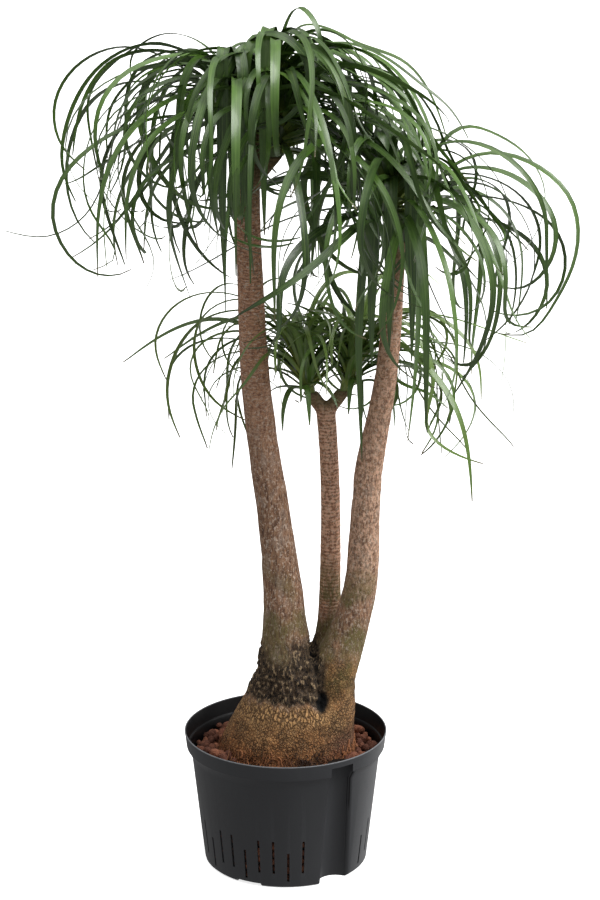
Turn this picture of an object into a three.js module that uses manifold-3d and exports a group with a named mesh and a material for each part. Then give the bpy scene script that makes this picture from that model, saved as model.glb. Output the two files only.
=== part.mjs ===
// Potted ponytail palm: a three-stemmed plant on one swollen caudex, standing in clay pebbles in a
// moulded culture pot. Millimetres, +Z up, the origin on the ground under the middle of the pot, -Y
// towards the side that is seen first. Azimuths are in degrees from +X towards +Y.
import * as THREE from 'three';
import { mergeVertices } from 'three/addons/utils/BufferGeometryUtils.js';
import Module from 'manifold-3d';

const wasm = await Module();
wasm.setup();

// Driving dimensions
const GAP = 0.3; // left between pieces that touch
const POT_HEIGHT = 190;
const RIM_RADIUS = 140;
const WALL = 2.2; // moulded wall thickness
const WALL_TOP_RADIUS = 130; // outside, under the shoulder
const WALL_BOTTOM_RADIUS = 112.5;
const SHOULDER_Z = 155; // the wall ends and the shoulder begins
const COLLAR_Z = 168; // the shoulder ends and the upright collar begins
const COLLAR_RADIUS = 137.3;
const FOOT_RISE = 5; // how far the pot's bottom is hollowed behind its foot ring
const FOOT_INNER_RADIUS = 103;
const FOOT_EDGE = 3.5; // slope at the foot ring's outer edge
const CENTRE_PAD_RADIUS = 84; // flat, level with the foot ring, and what the pot rests on
const PAD_FLOOR = 3.4; // floor thickness there
const PAD_SLOPE = 4;
const LIP_WALL = 1.6;
const LIP_SLOPE = 0.8; // how far the collar leans out below the lip
const LIP_HEIGHT = 5;
const LIP_EDGE = 2;
const OVERLAP = 5; // how far a cutting solid reaches past what it cuts
const GROOVE_TOP_Z = 181; // the upright groove for a water gauge, and its round core's middle
const GROOVE_FOOT = { azimuth: -53.5, along: 115.5, radius: 24, z: -1 };
const GROOVE_HEAD = { azimuth: -55.5, along: 134, radius: 18, z: 170 };
const PEBBLE_LEVEL = 165;
const PEBBLE_RELIEF = 3.2;
const SLOT_WIDTH = 3.4;
const SLOT_PITCH = 10; // degrees
const SLOT_FIRST_AZIMUTH = -78;
const SLOT_COUNT = 32;
const SLOT_CUT = 30; // length of the cutting boxes, from inside the wall to well past it
const NOTCH_CUT = 20;
const TALL_SLOT = [22, 72];
const LOW_SLOT = [10, 54];
const NOTCH_WIDTH = 38; // gaps in the foot ring
const NOTCH_COUNT = 5;
const NOTCH_FIRST_AZIMUTH = -117;
const NOTCH_PITCH = 60; // degrees
const NECK_RADIUS = 11;
const LEAF_WIDTH = 13;
const LEAF_THICKNESS = 1.5;
const LEAF_ROOT_WIDTH = 5;
const TAPER_START = 0.5; // the share of a leaf's length that keeps its full width
const TIP_TAPER = 0.25; // of the full width that is left just before the point
const FLAT_DEPTH = 0.6; // of the thickness that the taper leaves
const ROOT_REACH = 7; // from the head's axis, deep in its core
const CROWN_LOW = [-360, -245, 440]; // the box that the leaves by rule keep to
const CROWN_HIGH = [382, 250, 1176];
const BARE_STEM = 55; // from a stem's top down to where few leaves hang in front of it
const FEW_STEPS = 2; // of a leaf's steps
const CLEARANCE = 1; // kept between the leaves of one head and everything else
const GOLDEN_ANGLE = 137.508;

const POT_SIDES = 36;
const GROOVE_SIDES = 24;
const PEBBLE_SIDES = 44;
const CAUDEX_SIDES = 20;
const STEM_SIDES = 12;
const NECK_SIDES = 8;
const CORE_SIDES = 8;
const PLACED_SEGMENTS = 7;
const RULE_SEGMENTS = 5;

const radians = THREE.MathUtils.degToRad;
const lerp = THREE.MathUtils.lerp;

const looks = {
  pot: { color: 0x313336, roughness: 0.5, metalness: 0 },
  pebbles: { color: 0x83492f, roughness: 0.95, metalness: 0 },
  bark: { color: 0x86664b, roughness: 0.9, metalness: 0 },
  leaf: { color: 0x2f5a24, roughness: 0.4, metalness: 0 },
};

// Evenly spread draws in 0..1, the same on every run.
function draw(index, step) {
  return (index * step) % 1;
}

// Solids

function signedVolume(positions, index) {
  const [a, b, c] = [new THREE.Vector3(), new THREE.Vector3(), new THREE.Vector3()];
  let sum = 0;
  for (let i = 0; i < index.length; i += 3) {
    a.fromArray(positions, 3 * index[i]);
    b.fromArray(positions, 3 * index[i + 1]);
    c.fromArray(positions, 3 * index[i + 2]);
    sum += a.dot(b.cross(c)) / 6;
  }
  return sum;
}

// A closed geometry as a solid with its faces pointing out.
function solidOf(geometry) {
  const bare = geometry.clone();
  bare.deleteAttribute('normal');
  bare.deleteAttribute('uv');
  const merged = mergeVertices(bare, 1e-4);
  const vertProperties = Float32Array.from(merged.attributes.position.array);
  const triVerts = Uint32Array.from(merged.index.array);
  if (signedVolume(vertProperties, triVerts) < 0) triVerts.reverse();
  return new wasm.Manifold(new wasm.Mesh({ numProp: 3, vertProperties, triVerts }));
}

function named(name, solid, look) {
  const { vertProperties, triVerts } = solid.getMesh();
  const geometry = new THREE.BufferGeometry();
  geometry.setAttribute('position', new THREE.BufferAttribute(Float32Array.from(vertProperties), 3));
  geometry.setIndex(new THREE.BufferAttribute(Uint32Array.from(triVerts), 1));
  geometry.computeVertexNormals();
  const mesh = new THREE.Mesh(geometry, new THREE.MeshStandardMaterial(look));
  mesh.name = name;
  return mesh;
}

function union(solids) {
  return solids.reduce((whole, next) => whole.add(next));
}

// The same solid with any hollow that it seals filled in.
function filled(solid) {
  return union(solid.decompose().filter((piece) => piece.volume() > 0));
}

// A profile of [radius, height] pairs turned about the Z axis.
function turned(profile, sides) {
  const points = profile.map(([radius, height]) => new THREE.Vector2(radius, height));
  return new THREE.LatheGeometry(points, sides).rotateX(Math.PI / 2);
}

// Level rings {x, y, z, rx, ry} joined into one closed solid with flat ends.
function lofted(rings, sides) {
  const positions = [];
  const index = [];
  for (const ring of rings) {
    for (let i = 0; i < sides; i++) {
      const turn = (2 * Math.PI * i) / sides;
      positions.push(ring.x + ring.rx * Math.cos(turn), ring.y + ring.ry * Math.sin(turn), ring.z);
    }
  }
  for (let r = 0; r + 1 < rings.length; r++) {
    for (let i = 0; i < sides; i++) {
      const a = r * sides + i;
      const b = r * sides + ((i + 1) % sides);
      index.push(a, b, b + sides, a, b + sides, a + sides);
    }
  }
  const last = (rings.length - 1) * sides;
  for (let i = 1; i + 1 < sides; i++) {
    index.push(0, i + 1, i, last, last + i, last + i + 1);
  }
  const geometry = new THREE.BufferGeometry();
  geometry.setAttribute('position', new THREE.Float32BufferAttribute(positions, 3));
  geometry.setIndex(index);
  return solidOf(geometry);
}

// A box whose inner end is at the given radius, turned to the given azimuth.
function radialBox(azimuth, radius, length, width, low, high) {
  const box = new THREE.BoxGeometry(length, width, high - low);
  box.translate(radius + length / 2, 0, (low + high) / 2);
  return solidOf(box.rotateZ(radians(azimuth)));
}

// The pot

function wallRadius(z) {
  return lerp(WALL_BOTTOM_RADIUS, WALL_TOP_RADIUS, z / SHOULDER_Z);
}

// The gauge groove's round core, wider at its foot, leaning with the wall.
function grooveCore(extra, top) {
  const rings = [GROOVE_FOOT.z, top].map((z) => {
    const share = (z - GROOVE_FOOT.z) / (GROOVE_HEAD.z - GROOVE_FOOT.z);
    const turn = radians(lerp(GROOVE_FOOT.azimuth, GROOVE_HEAD.azimuth, share));
    const along = lerp(GROOVE_FOOT.along, GROOVE_HEAD.along, share);
    const radius = lerp(GROOVE_FOOT.radius, GROOVE_HEAD.radius, share) + extra;
    return { x: along * Math.cos(turn), y: along * Math.sin(turn), z, rx: radius, ry: radius };
  });
  return lofted(rings, GROOVE_SIDES);
}

// The inside's profile, from the middle of the floor to the lip.
const potInside = [
  [0, PAD_FLOOR],
  [CENTRE_PAD_RADIUS, PAD_FLOOR],
  [CENTRE_PAD_RADIUS + PAD_SLOPE, FOOT_RISE + WALL],
  [wallRadius(FOOT_RISE + WALL) - WALL, FOOT_RISE + WALL],
  [WALL_TOP_RADIUS - WALL, SHOULDER_Z],
  [COLLAR_RADIUS - WALL, COLLAR_Z],
  [RIM_RADIUS - LIP_WALL, POT_HEIGHT],
];

function makePot() {
  const wall = [
    [WALL_BOTTOM_RADIUS - FOOT_EDGE, 0],
    [wallRadius(FOOT_EDGE), FOOT_EDGE],
    [WALL_TOP_RADIUS, SHOULDER_Z],
    [COLLAR_RADIUS, COLLAR_Z],
    [RIM_RADIUS - LIP_SLOPE, POT_HEIGHT - LIP_HEIGHT],
    [RIM_RADIUS, POT_HEIGHT - LIP_EDGE],
    [RIM_RADIUS, POT_HEIGHT],
    [0, POT_HEIGHT],
  ];
  const bottom = [
    [0, 0],
    [CENTRE_PAD_RADIUS, 0],
    [CENTRE_PAD_RADIUS + PAD_SLOPE, FOOT_RISE],
    [FOOT_INNER_RADIUS, FOOT_RISE],
    [FOOT_INNER_RADIUS, 0],
  ];
  const whole = solidOf(turned([...bottom, ...wall], POT_SIDES));
  const block = solidOf(turned([[0, 0], ...wall], POT_SIDES));
  const aboveLip = POT_HEIGHT + OVERLAP;
  const opening = [[RIM_RADIUS - LIP_WALL, aboveLip], [0, aboveLip]];
  const inside = solidOf(turned([...potInside, ...opening], POT_SIDES));
  const tube = block.intersect(grooveCore(WALL, GROOVE_TOP_Z + WALL));
  let pot = whole.subtract(inside).add(tube).subtract(grooveCore(0, GROOVE_TOP_Z));
  for (let i = 0; i < SLOT_COUNT; i++) {
    const [low, high] = i % 3 === 1 ? LOW_SLOT : TALL_SLOT;
    const azimuth = SLOT_FIRST_AZIMUTH - i * SLOT_PITCH;
    pot = pot.subtract(radialBox(azimuth, FOOT_INNER_RADIUS, SLOT_CUT, SLOT_WIDTH, low, high));
  }
  for (let i = 0; i < NOTCH_COUNT; i++) {
    const azimuth = NOTCH_FIRST_AZIMUTH - i * NOTCH_PITCH;
    pot = pot.subtract(radialBox(azimuth, FOOT_INNER_RADIUS - 1, NOTCH_CUT, NOTCH_WIDTH, -1, FOOT_RISE));
  }
  return pot;
}

// The trunk: level sections [x, y, z, radius across, radius in depth] of the caudex and the stems.

const CAUDEX = [
  [3, 5, 100, 58, 50],
  [2, 4, 128, 82, 70],
  [2, 4, 160, 92, 73],
  [6, 5, 189, 89, 70],
  [13, 6, 213, 83, 66],
  [21, 7, 243, 75, 58],
  [27, 8, 269, 69, 52],
  [35, 9, 300, 62, 45],
  [35, 10, 316, 48, 36],
];
const LEFT_STEM = [
  [6, -2, 240, 46],
  [2, -2, 291, 39],
  [0.5, -2, 320, 33.3],
  [-1.5, -2, 369, 28.6],
  [-7, -2, 434, 24.8],
  [-18, -2, 523, 22.5],
  [-38, -2, 675, 20],
  [-45.5, -2, 816, 17.7],
  [-48, -2, 897, 16.6],
  [-48, -3, 985, 15.5],
];
const RIGHT_STEM = [
  [58, -4, 250, 42],
  [70.5, -6, 298, 33.6],
  [82.5, -7, 329, 28.4],
  [101, -8, 395, 23.6],
  [109, -8, 523, 20],
  [115, -8, 582, 18.8],
  [131.5, -8, 675, 15.8],
  [144.5, -6, 830, 13.6],
  [147, -3, 880, 13],
];
const CENTRE_STEM = [
  [52, 30, 280, 24],
  [59, 34, 318, 18],
  [61, 35, 360, 15.6],
  [62, 34, 440, 14.2],
  [58, 32, 600, 13.2],
  [54, 31, 650, 13.6],
];

// The heads that the stems end in. A short neck runs from inside the stem to the head's foot, and
// the head's growing point is further on. Leaves: how many the rule adds to the placed ones, and length:
// how long those usually are.
const HEADS = {
  left_head_1: {
    from: [-48, -4, 965], foot: [-62, -8, 1035], point: [-69, -10, 1092], leaves: 30, length: 450,
  },
  left_head_2: {
    from: [-46, 0, 965], foot: [-24, 10, 1050], point: [-14, 15, 1112], leaves: 28, length: 440,
  },
  left_head_3: {
    from: [-44, -6, 960], foot: [-12, -12, 1000], point: [-2, -16, 1052], leaves: 20, length: 400,
  },
  right_head_1: {
    from: [146, -6, 865], foot: [141, -16, 915], point: [139, -18, 968], leaves: 23, length: 400,
  },
  right_head_2: {
    from: [148, -2, 850], foot: [167, 15, 880], point: [172, 19, 926], leaves: 26, length: 420,
  },
  centre_head_1: {
    from: [52, 31, 640], foot: [34, 26, 668], point: [20, 22, 716], leaves: 24, length: 310,
  },
  centre_head_2: {
    from: [58, 32, 640], foot: [80, 35, 668], point: [98, 38, 722], leaves: 24, length: 310,
  },
};

// The tuft of leaf bases: [share of the way from foot to growing point, radius]
const CORE = [[0, 11], [0.2, 17], [0.7, 16], [1.05, 12], [1.4, 5]];

function stemSolid(sections, sides, extra = 0) {
  const rings = sections.map(([x, y, z, rx, ry = rx]) => ({ x, y, z, rx: rx + extra, ry: ry + extra }));
  return lofted(rings, sides);
}

function neckSolid({ from, foot }) {
  return stemSolid([[...from, NECK_RADIUS + 1], [...foot, NECK_RADIUS]], NECK_SIDES);
}

function makeTrunk() {
  return union([
    stemSolid(CAUDEX, CAUDEX_SIDES),
    stemSolid(LEFT_STEM, STEM_SIDES),
    stemSolid(RIGHT_STEM, STEM_SIDES),
    stemSolid(CENTRE_STEM, STEM_SIDES),
    ...Object.values(HEADS).map(neckSolid),
  ]);
}

// The pebbles: one packed bed, open round the caudex. Its top is a net of rings whose corners stand
// up and lie low by turns, as grains do.

const PEBBLE_RINGS = [120, 108, 96, 84, 72];
const BED_EDGE = 2; // kept from the pot's wall at the bed's top
const LOW_GRAIN = -0.8; // shares of the relief
const GRAIN_LIFT = 0.9;
const GRAIN_SHIFT = 0.02; // share of its radius that a grain moves out or in
const GRAIN_SWING = 0.03; // radians that it moves round

function makePebbles() {
  // The pot's inside is flat between its corners, and the bed stays inside those flats.
  const inFlats = (radius) => radius * Math.cos(Math.PI / POT_SIDES) - GAP;
  const rise = (PEBBLE_LEVEL - SHOULDER_Z) / (COLLAR_Z - SHOULDER_Z);
  const edge = inFlats(lerp(WALL_TOP_RADIUS, COLLAR_RADIUS, rise) - WALL) - BED_EDGE;
  const profile = [
    [0, PAD_FLOOR + GAP],
    ...potInside.slice(1, 5).map(([radius, z]) => [inFlats(radius), z + GAP]),
    [edge, PEBBLE_LEVEL - PEBBLE_RELIEF],
    ...PEBBLE_RINGS.map((radius) => [radius, PEBBLE_LEVEL]),
    [0, PEBBLE_LEVEL],
  ];
  const bed = turned(profile, PEBBLE_SIDES);
  const place = bed.attributes.position;
  const grain = new THREE.Vector3();
  for (let i = 0; i < place.count; i++) {
    grain.fromBufferAttribute(place, i);
    const ring = i % profile.length - (profile.length - 1 - PEBBLE_RINGS.length);
    if (ring < 0 || ring >= PEBBLE_RINGS.length) continue;
    const column = Math.floor(i / profile.length) % PEBBLE_SIDES;
    const high = (ring + column) % 2 ? 1 : LOW_GRAIN;
    const shift = 1 + GRAIN_SHIFT * (draw(column * 7 + ring, 0.618) - 0.5);
    const swing = GRAIN_SWING * (draw(column * 5 + ring * 3, 0.7549) - 0.5);
    const lift = PEBBLE_RELIEF * (high + GRAIN_LIFT * (draw(column + 11 * ring, 0.5698) - 0.5));
    grain.applyAxisAngle(new THREE.Vector3(0, 0, 1), swing);
    place.setXYZ(i, grain.x * shift, grain.y * shift, PEBBLE_LEVEL + lift);
  }
  const caudex = stemSolid(CAUDEX, CAUDEX_SIDES, GAP);
  return solidOf(bed).subtract(caudex).subtract(grooveCore(WALL + GAP, POT_HEIGHT));
}

// Leaves

// The curve that a springy strap takes through a few points: a natural cubic spline on its chords.
function springCurve(points) {
  const spans = points.slice(1).map((point, i) => point.distanceTo(points[i]));
  const last = points.length - 1;
  const bends = points.map(() => new THREE.Vector3());
  const upper = new Array(last).fill(0);
  for (let i = 1; i < last; i++) {
    const before = points[i].clone().sub(points[i - 1]).divideScalar(spans[i - 1]);
    const after = points[i + 1].clone().sub(points[i]).divideScalar(spans[i]);
    const pivot = 2 * (spans[i - 1] + spans[i]) - spans[i - 1] * upper[i - 1];
    upper[i] = spans[i] / pivot;
    bends[i].copy(after.sub(before).multiplyScalar(6));
    bends[i].addScaledVector(bends[i - 1], -spans[i - 1]).divideScalar(pivot);
  }
  for (let i = last - 2; i > 0; i--) bends[i].addScaledVector(bends[i + 1], -upper[i]);
  return (share) => {
    const i = Math.min(last - 1, Math.floor(share * last));
    const h = spans[i];
    const b = (share * last - i) * h;
    const a = h - b;
    return new THREE.Vector3()
      .addScaledVector(bends[i], a * a * a / (6 * h) - a * h / 6)
      .addScaledVector(bends[i + 1], b * b * b / (6 * h) - b * h / 6)
      .addScaledVector(points[i], a / h)
      .addScaledVector(points[i + 1], b / h);
  };
}

// Stations along a curve, closer where it bends.
function stations(curve, count) {
  const steps = 60;
  const lengthPerTurn = 120; // a radian of bend counts as much as this length
  const fine = Array.from({ length: steps + 1 }, (_, i) => curve(i / steps));
  const effort = [0];
  for (let i = 1; i <= steps; i++) {
    const step = fine[i].clone().sub(fine[i - 1]);
    const turn = i < steps ? step.angleTo(fine[i + 1].clone().sub(fine[i])) : 0;
    effort.push(effort[i - 1] + step.length() / lengthPerTurn + turn);
  }
  return Array.from({ length: count + 1 }, (_, k) => {
    const goal = (effort[steps] * k) / count;
    const i = Math.max(1, effort.findIndex((value) => value >= goal - 1e-9));
    const part = (goal - effort[i - 1]) / (effort[i] - effort[i - 1]);
    return fine[i - 1].clone().lerp(fine[i], part);
  });
}

// One strap leaf: flat above, keeled below, full width for half its length and then drawn out to a
// point. The side vector is the way that its width lies at the root, and twist turns it towards the
// tip. Extra fattens it.
function bladeGeometry(leaf, extra = 0) {
  const middle = stations(leaf.curve, leaf.segments);
  const rings = [];
  for (let i = 0; i < leaf.segments; i++) {
    const share = i / leaf.segments;
    const along = middle[i + 1].clone().sub(middle[Math.max(0, i - 1)]).normalize();
    const side = leaf.side.clone().addScaledVector(along, -leaf.side.dot(along)).normalize();
    side.applyAxisAngle(along, leaf.twist * share);
    const up = new THREE.Vector3().crossVectors(along, side);
    const drawn = Math.max(0, (share - TAPER_START) / (1 - TAPER_START));
    const taper = lerp(1, TIP_TAPER, drawn);
    const width = i === 0 ? LEAF_ROOT_WIDTH : leaf.width * taper;
    const reach = width / 2 + extra;
    const depth = LEAF_THICKNESS * lerp(FLAT_DEPTH, 1, taper) + extra;
    rings.push([
      middle[i].clone().addScaledVector(side, -reach).addScaledVector(up, extra),
      middle[i].clone().addScaledVector(side, reach).addScaledVector(up, extra),
      middle[i].clone().addScaledVector(up, -depth),
    ]);
  }
  const positions = rings.flat().concat(middle[leaf.segments]).flatMap((point) => point.toArray());
  const tip = 3 * rings.length;
  const index = [0, 1, 2];
  for (let r = 0; r + 1 < rings.length; r++) {
    for (const [p, q] of [[1, 0], [2, 1], [0, 2]]) {
      const [a, b] = [3 * r + p, 3 * r + q];
      const [c, d] = [a + 3, b + 3];
      const [va, vb, vc, vd] = [a, b, c, d].map((k) => new THREE.Vector3().fromArray(positions, 3 * k));
      const bulge = vb.clone().sub(va).cross(vc.clone().sub(va)).dot(vd.clone().sub(va));
      if (bulge > 0) index.push(a, b, c, b, d, c);
      else index.push(a, b, d, a, d, c);
    }
  }
  for (const [p, q] of [[1, 0], [2, 1], [0, 2]]) index.push(tip - 3 + p, tip - 3 + q, tip);
  const geometry = new THREE.BufferGeometry();
  geometry.setAttribute('position', new THREE.Float32BufferAttribute(positions, 3));
  geometry.setIndex(index);
  return geometry;
}

// The leaves that give the crown its outline: head, azimuth, width, twist in degrees, and then
// [reach, height] from the head's growing point, at the crest, the shoulder and on down to the tip.
const PLACED = [
  ['left_head_1', 168, 5, 60, [65, 20], [140, 45], [205, 20], [240, -40], [230, -90], [200, -120]],
  ['left_head_1', 185, 11, 70, [45, 35], [100, 55], [160, 35], [215, -50], [220, -110], [205, -150]],
  ['left_head_1', 196, 11, 80, [55, 35], [105, 50], [155, 40], [200, -20], [212, -80]],
  ['left_head_1', 178, 6, 40, [55, 40], [105, 55], [150, 30], [185, -15], [185, -65], [175, -125]],
  ['left_head_1', 150, 4, 30, [20, 30], [75, 60], [125, 50], [155, 20], [155, -5]],
  ['left_head_1', 203, 8, 60, [65, 25], [125, 10], [185, -35], [205, -105], [190, -160],
    [165, -215], [195, -228]],
  ['left_head_1', 158, 5, 40, [85, 25], [145, -5], [175, -45], [180, -110]],
  ['left_head_1', 216, 15, 50, [80, 15], [135, -15], [175, -75], [165, -135], [125, -230], [145, -262]],
  ['left_head_1', 236, 14, 20, [50, 45], [85, 40], [112, -10], [118, -65], [140, -135],
    [115, -225], [95, -265]],
  ['left_head_1', 191, 5, 50, [65, 15], [110, 5], [160, -85], [195, -165], [245, -190], [300, -180]],
  ['left_head_1', 262, 14, 0, [35, 50], [60, 58], [72, 5], [78, -80], [76, -170], [66, -250]],
  ['left_head_1', 282, 12, -10, [40, 55], [66, 45], [78, -20], [76, -95], [66, -170]],
  ['left_head_2', 315, 8, 30, [25, 60], [45, 82], [75, 66], [85, 10], [75, -45]],
  ['left_head_2', 352, 7, 30, [40, 55], [75, 50], [105, 35], [130, 15], [152, -20]],
  ['left_head_2', 15, 8, 60, [60, 45], [115, 25], [175, 0], [225, -70], [240, -115]],
  ['left_head_2', 0, 7, 50, [75, 30], [140, 15], [195, -25], [230, -55], [255, -95]],
  ['left_head_2', 336, 14, 20, [60, 25], [110, 15], [160, -15], [185, -60], [200, -110]],
  ['left_head_2', 262, 15, 0, [35, 56], [62, 52], [78, 0], [86, -65], [90, -130], [86, -205]],
  ['left_head_2', 245, 13, 10, [35, 45], [66, 40], [85, -30], [88, -105], [80, -195], [62, -265]],
  ['left_head_3', 335, 14, 10, [30, 50], [60, 52], [100, 35], [140, 0], [170, -60]],
  ['left_head_3', 300, 13, 0, [35, 42], [62, 32], [80, -15], [86, -70], [80, -140], [72, -200]],
  ['right_head_2', 352, 7, 60, [35, 40], [95, 72], [155, 60], [205, 15], [215, -50],
    [185, -130], [150, -170], [112, -170]],
  ['right_head_2', 332, 7, 60, [45, 45], [95, 60], [160, 45], [200, 0], [195, -55],
    [150, -95], [105, -90]],
  ['right_head_2', 18, 6, 50, [25, 60], [65, 100], [110, 90], [160, 55], [185, 5], [170, -55],
    [125, -100]],
  ['right_head_2', 318, 9, 40, [30, 30], [65, 25], [105, 5], [140, -45], [145, -100],
    [120, -180], [85, -220]],
  ['right_head_2', 304, 8, 30, [35, 5], [70, -20], [108, -75], [116, -145], [112, -190]],
  ['right_head_1', 212, 14, 20, [45, 30], [80, 22], [110, -30], [116, -70], [110, -115]],
  ['right_head_1', 178, 14, 10, [25, 45], [60, 84], [92, 102], [125, 92], [145, 50]],
  ['right_head_1', 252, 15, 0, [35, 10], [58, -5], [76, -75], [84, -155], [80, -230]],
  ['right_head_1', 268, 15, 0, [35, 12], [58, -2], [72, -75], [78, -155], [70, -210]],
  ['right_head_1', 290, 15, 0, [30, 25], [52, 28], [68, -40], [76, -130], [78, -225]],
  ['right_head_1', 305, 13, 0, [45, 0], [64, -55], [76, -145], [82, -240], [84, -300]],
  ['right_head_1', 240, 13, 0, [40, -15], [68, -75], [84, -185], [80, -280], [74, -365]],
  ['right_head_1', 300, 10, 40, [40, 12], [95, -4], [155, -5], [215, -35], [245, -90],
    [230, -155], [160, -250]],
  ['centre_head_2', 350, 6, 50, [35, 50], [75, 60], [120, 45], [160, 0], [168, -60]],
  ['centre_head_2', 340, 7, 40, [30, -15], [60, -38], [95, -48], [128, -68]],
  ['centre_head_2', 330, 9, 50, [45, 20], [95, 0], [150, -60], [172, -140], [176, -185]],
  ['centre_head_2', 5, 6, 50, [40, 10], [80, -8], [130, -30], [160, -75], [145, -125], [118, -155]],
  ['centre_head_2', 320, 8, 40, [50, 40], [90, 25], [112, -35], [105, -95], [150, -125], [188, -132]],
  ['centre_head_1', 165, 7, 60, [45, 55], [90, 60], [140, 40], [182, -25], [186, -80], [170, -125]],
  ['centre_head_1', 176, 6, 50, [45, 70], [85, 80], [130, 55], [142, 0], [112, -65], [75, -88]],
  ['centre_head_1', 190, 6, 50, [55, 70], [110, 88], [172, 65], [196, 15], [182, -35]],
  ['centre_head_1', 206, 7, 40, [45, 50], [90, 42], [122, 5], [126, -25], [110, -62]],
  ['centre_head_1', 230, 7, 30, [60, 20], [115, -12], [155, -35], [182, -75], [188, -100]],
];

function level(azimuth) {
  return new THREE.Vector3(Math.cos(radians(azimuth)), Math.sin(radians(azimuth)), 0);
}

// A leaf's root is deep in the core, higher for a young leaf. Rank goes from 0, young, to 1, old.
const LOWEST_ROOT = 0.9; // of the way from the growing point to the foot
const PLACED_TURN = 4; // degrees that each further try of a placed leaf is turned by
const MIDDLE_RANK = 0.7; // of a placed leaf that starts out level
const RANK_HEIGHT = 110; // the first height that makes it a whole rank younger

function rootOf(head, azimuth, rank) {
  const share = LOWEST_ROOT * rank;
  const root = new THREE.Vector3(...head.point).lerp(new THREE.Vector3(...head.foot), share);
  return root.addScaledVector(level(azimuth), ROOT_REACH);
}

// A leaf through its [reach, height] points, measured level and upright from the growing point.
function placedLeaf(head, [, start, width, twist, ...outline], attempt) {
  const azimuth = start + PLACED_TURN * attempt * (attempt % 2 ? 1 : -1);
  const rank = THREE.MathUtils.clamp(MIDDLE_RANK - outline[0][1] / RANK_HEIGHT, 0, 1);
  const point = new THREE.Vector3(...head.point);
  const points = outline.map(([reach, height]) => {
    return level(azimuth).multiplyScalar(reach).add(point).setZ(point.z + height);
  });
  const curve = springCurve([rootOf(head, azimuth, rank), ...points]);
  return { curve, side: level(azimuth + 90), width, twist: radians(twist), segments: PLACED_SEGMENTS };
}

// How leaves by rule vary. Slopes are in degrees, and places along a leaf are shares of its length.
const RISE = [84, 6]; // the slope at the root, of a young and of an old leaf
const RISE_SPREAD = 20;
const RISE_BIAS = 0.85; // below 1 the slope falls off sooner with age
const FALL = [-66, -96]; // the slope that the leaf bends over to
const ONSET = [0.02, 0.1]; // where it starts to bend over
const BREADTH = [0.36, 0.8]; // how long a stretch it takes to
const CURL = [-25, 110]; // how far the tip curls on inwards
const CURL_START = 0.4;
const CURL_GROWTH = 1.6;
const SWING = 64; // how far it sweeps round on the way, and more at the tip
const HOOK = 100;
const RULE_LENGTH = [0.78, 1.22]; // of the head's usual length
const YOUNG_LENGTH = 0.62; // of a full-grown leaf's
const GROWN_RANK = 0.3;
const BROAD_LENGTH = 400; // heads with shorter leaves have narrower ones too
const NARROWEST = 0.55; // of the usual width
const TWIST = 90; // degrees
const TRY_TURN = 13; // each further try is turned by more degrees, and is shorter by this share
const TRY_SHORTER = 0.03;
const RULE_STEPS = 24;

// A leaf by rule: it leaves its root at a slope that falls with its rank, bends over along a stretch
// of its length until it hangs, and curls inwards towards its tip. The azimuth goes round by the
// golden angle.
function ruleLeaf(head, number, attempt) {
  const rank = (number + 0.5) / head.leaves;
  const azimuth = number * GOLDEN_ANGLE + TRY_TURN * attempt * (attempt % 2 ? 1 : -1);
  const rise = lerp(...RISE, rank ** RISE_BIAS)
    + RISE_SPREAD * (draw(number * 3 + attempt, 0.7549) - 0.5);
  const fall = lerp(...FALL, draw(number + 2 * attempt, 0.5698));
  const onset = lerp(...ONSET, draw(number * 2 + attempt, 0.4142));
  const breadth = lerp(...BREADTH, draw(number * 5 + attempt, 0.618));
  const curl = lerp(...CURL, draw(number * 7 + 3 * attempt, 0.3028));
  const swing = SWING * (draw(number + 5 * attempt, 0.8191) - 0.5);
  const hook = HOOK * (draw(number * 4 + attempt, 0.2361) - 0.5);
  const grown = lerp(YOUNG_LENGTH, 1, Math.min(1, rank / GROWN_RANK)) * (1 - TRY_SHORTER * attempt);
  const length = head.length * grown * lerp(...RULE_LENGTH, draw(number, 0.9051));
  const path = [rootOf(head, azimuth, rank)];
  for (let step = 0; step < RULE_STEPS; step++) {
    const share = (step + 0.5) / RULE_STEPS;
    const bent = THREE.MathUtils.smoothstep(share, onset, onset + breadth);
    const curled = Math.max(0, (share - CURL_START) / (1 - CURL_START)) ** CURL_GROWTH;
    const pitch = radians(lerp(rise, fall, bent) - curl * curled);
    const forward = level(azimuth + swing * share + hook * share ** 4).multiplyScalar(Math.cos(pitch));
    forward.z = Math.sin(pitch);
    path.push(path[step].clone().addScaledVector(forward, length / RULE_STEPS));
  }
  const curve = (share) => {
    const i = Math.min(RULE_STEPS - 1, Math.floor(share * RULE_STEPS));
    return path[i].clone().lerp(path[i + 1], share * RULE_STEPS - i);
  };
  const broad = LEAF_WIDTH * Math.min(1, head.length / BROAD_LENGTH);
  const width = broad * lerp(NARROWEST, 1, draw(number, 0.3247));
  const twist = radians(TWIST * (draw(number, 0.445) - 0.5));
  return { curve, side: level(azimuth + 90), width, twist, segments: RULE_SEGMENTS, free: path };
}

// Whether a leaf by rule leaves the crown's box, or hangs in front of a bare stem for long.
function straysFrom({ free = [] }) {
  const low = new THREE.Vector3(...CROWN_LOW);
  const high = new THREE.Vector3(...CROWN_HIGH);
  if (free.some((place) => place.clone().clamp(low, high).distanceTo(place) > 0)) return true;
  const hidden = free.filter((place) => [LEFT_STEM, RIGHT_STEM, CENTRE_STEM].some((stem) => {
    const above = stem.findIndex((row) => row[2] > place.z);
    if (above < 1 || place.z > stem.at(-1)[2] - BARE_STEM) return false;
    const [x, y, , radius] = stem[above];
    return place.y < y && Math.abs(place.x - x) < radius;
  }));
  return hidden.length > FEW_STEPS;
}

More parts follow.
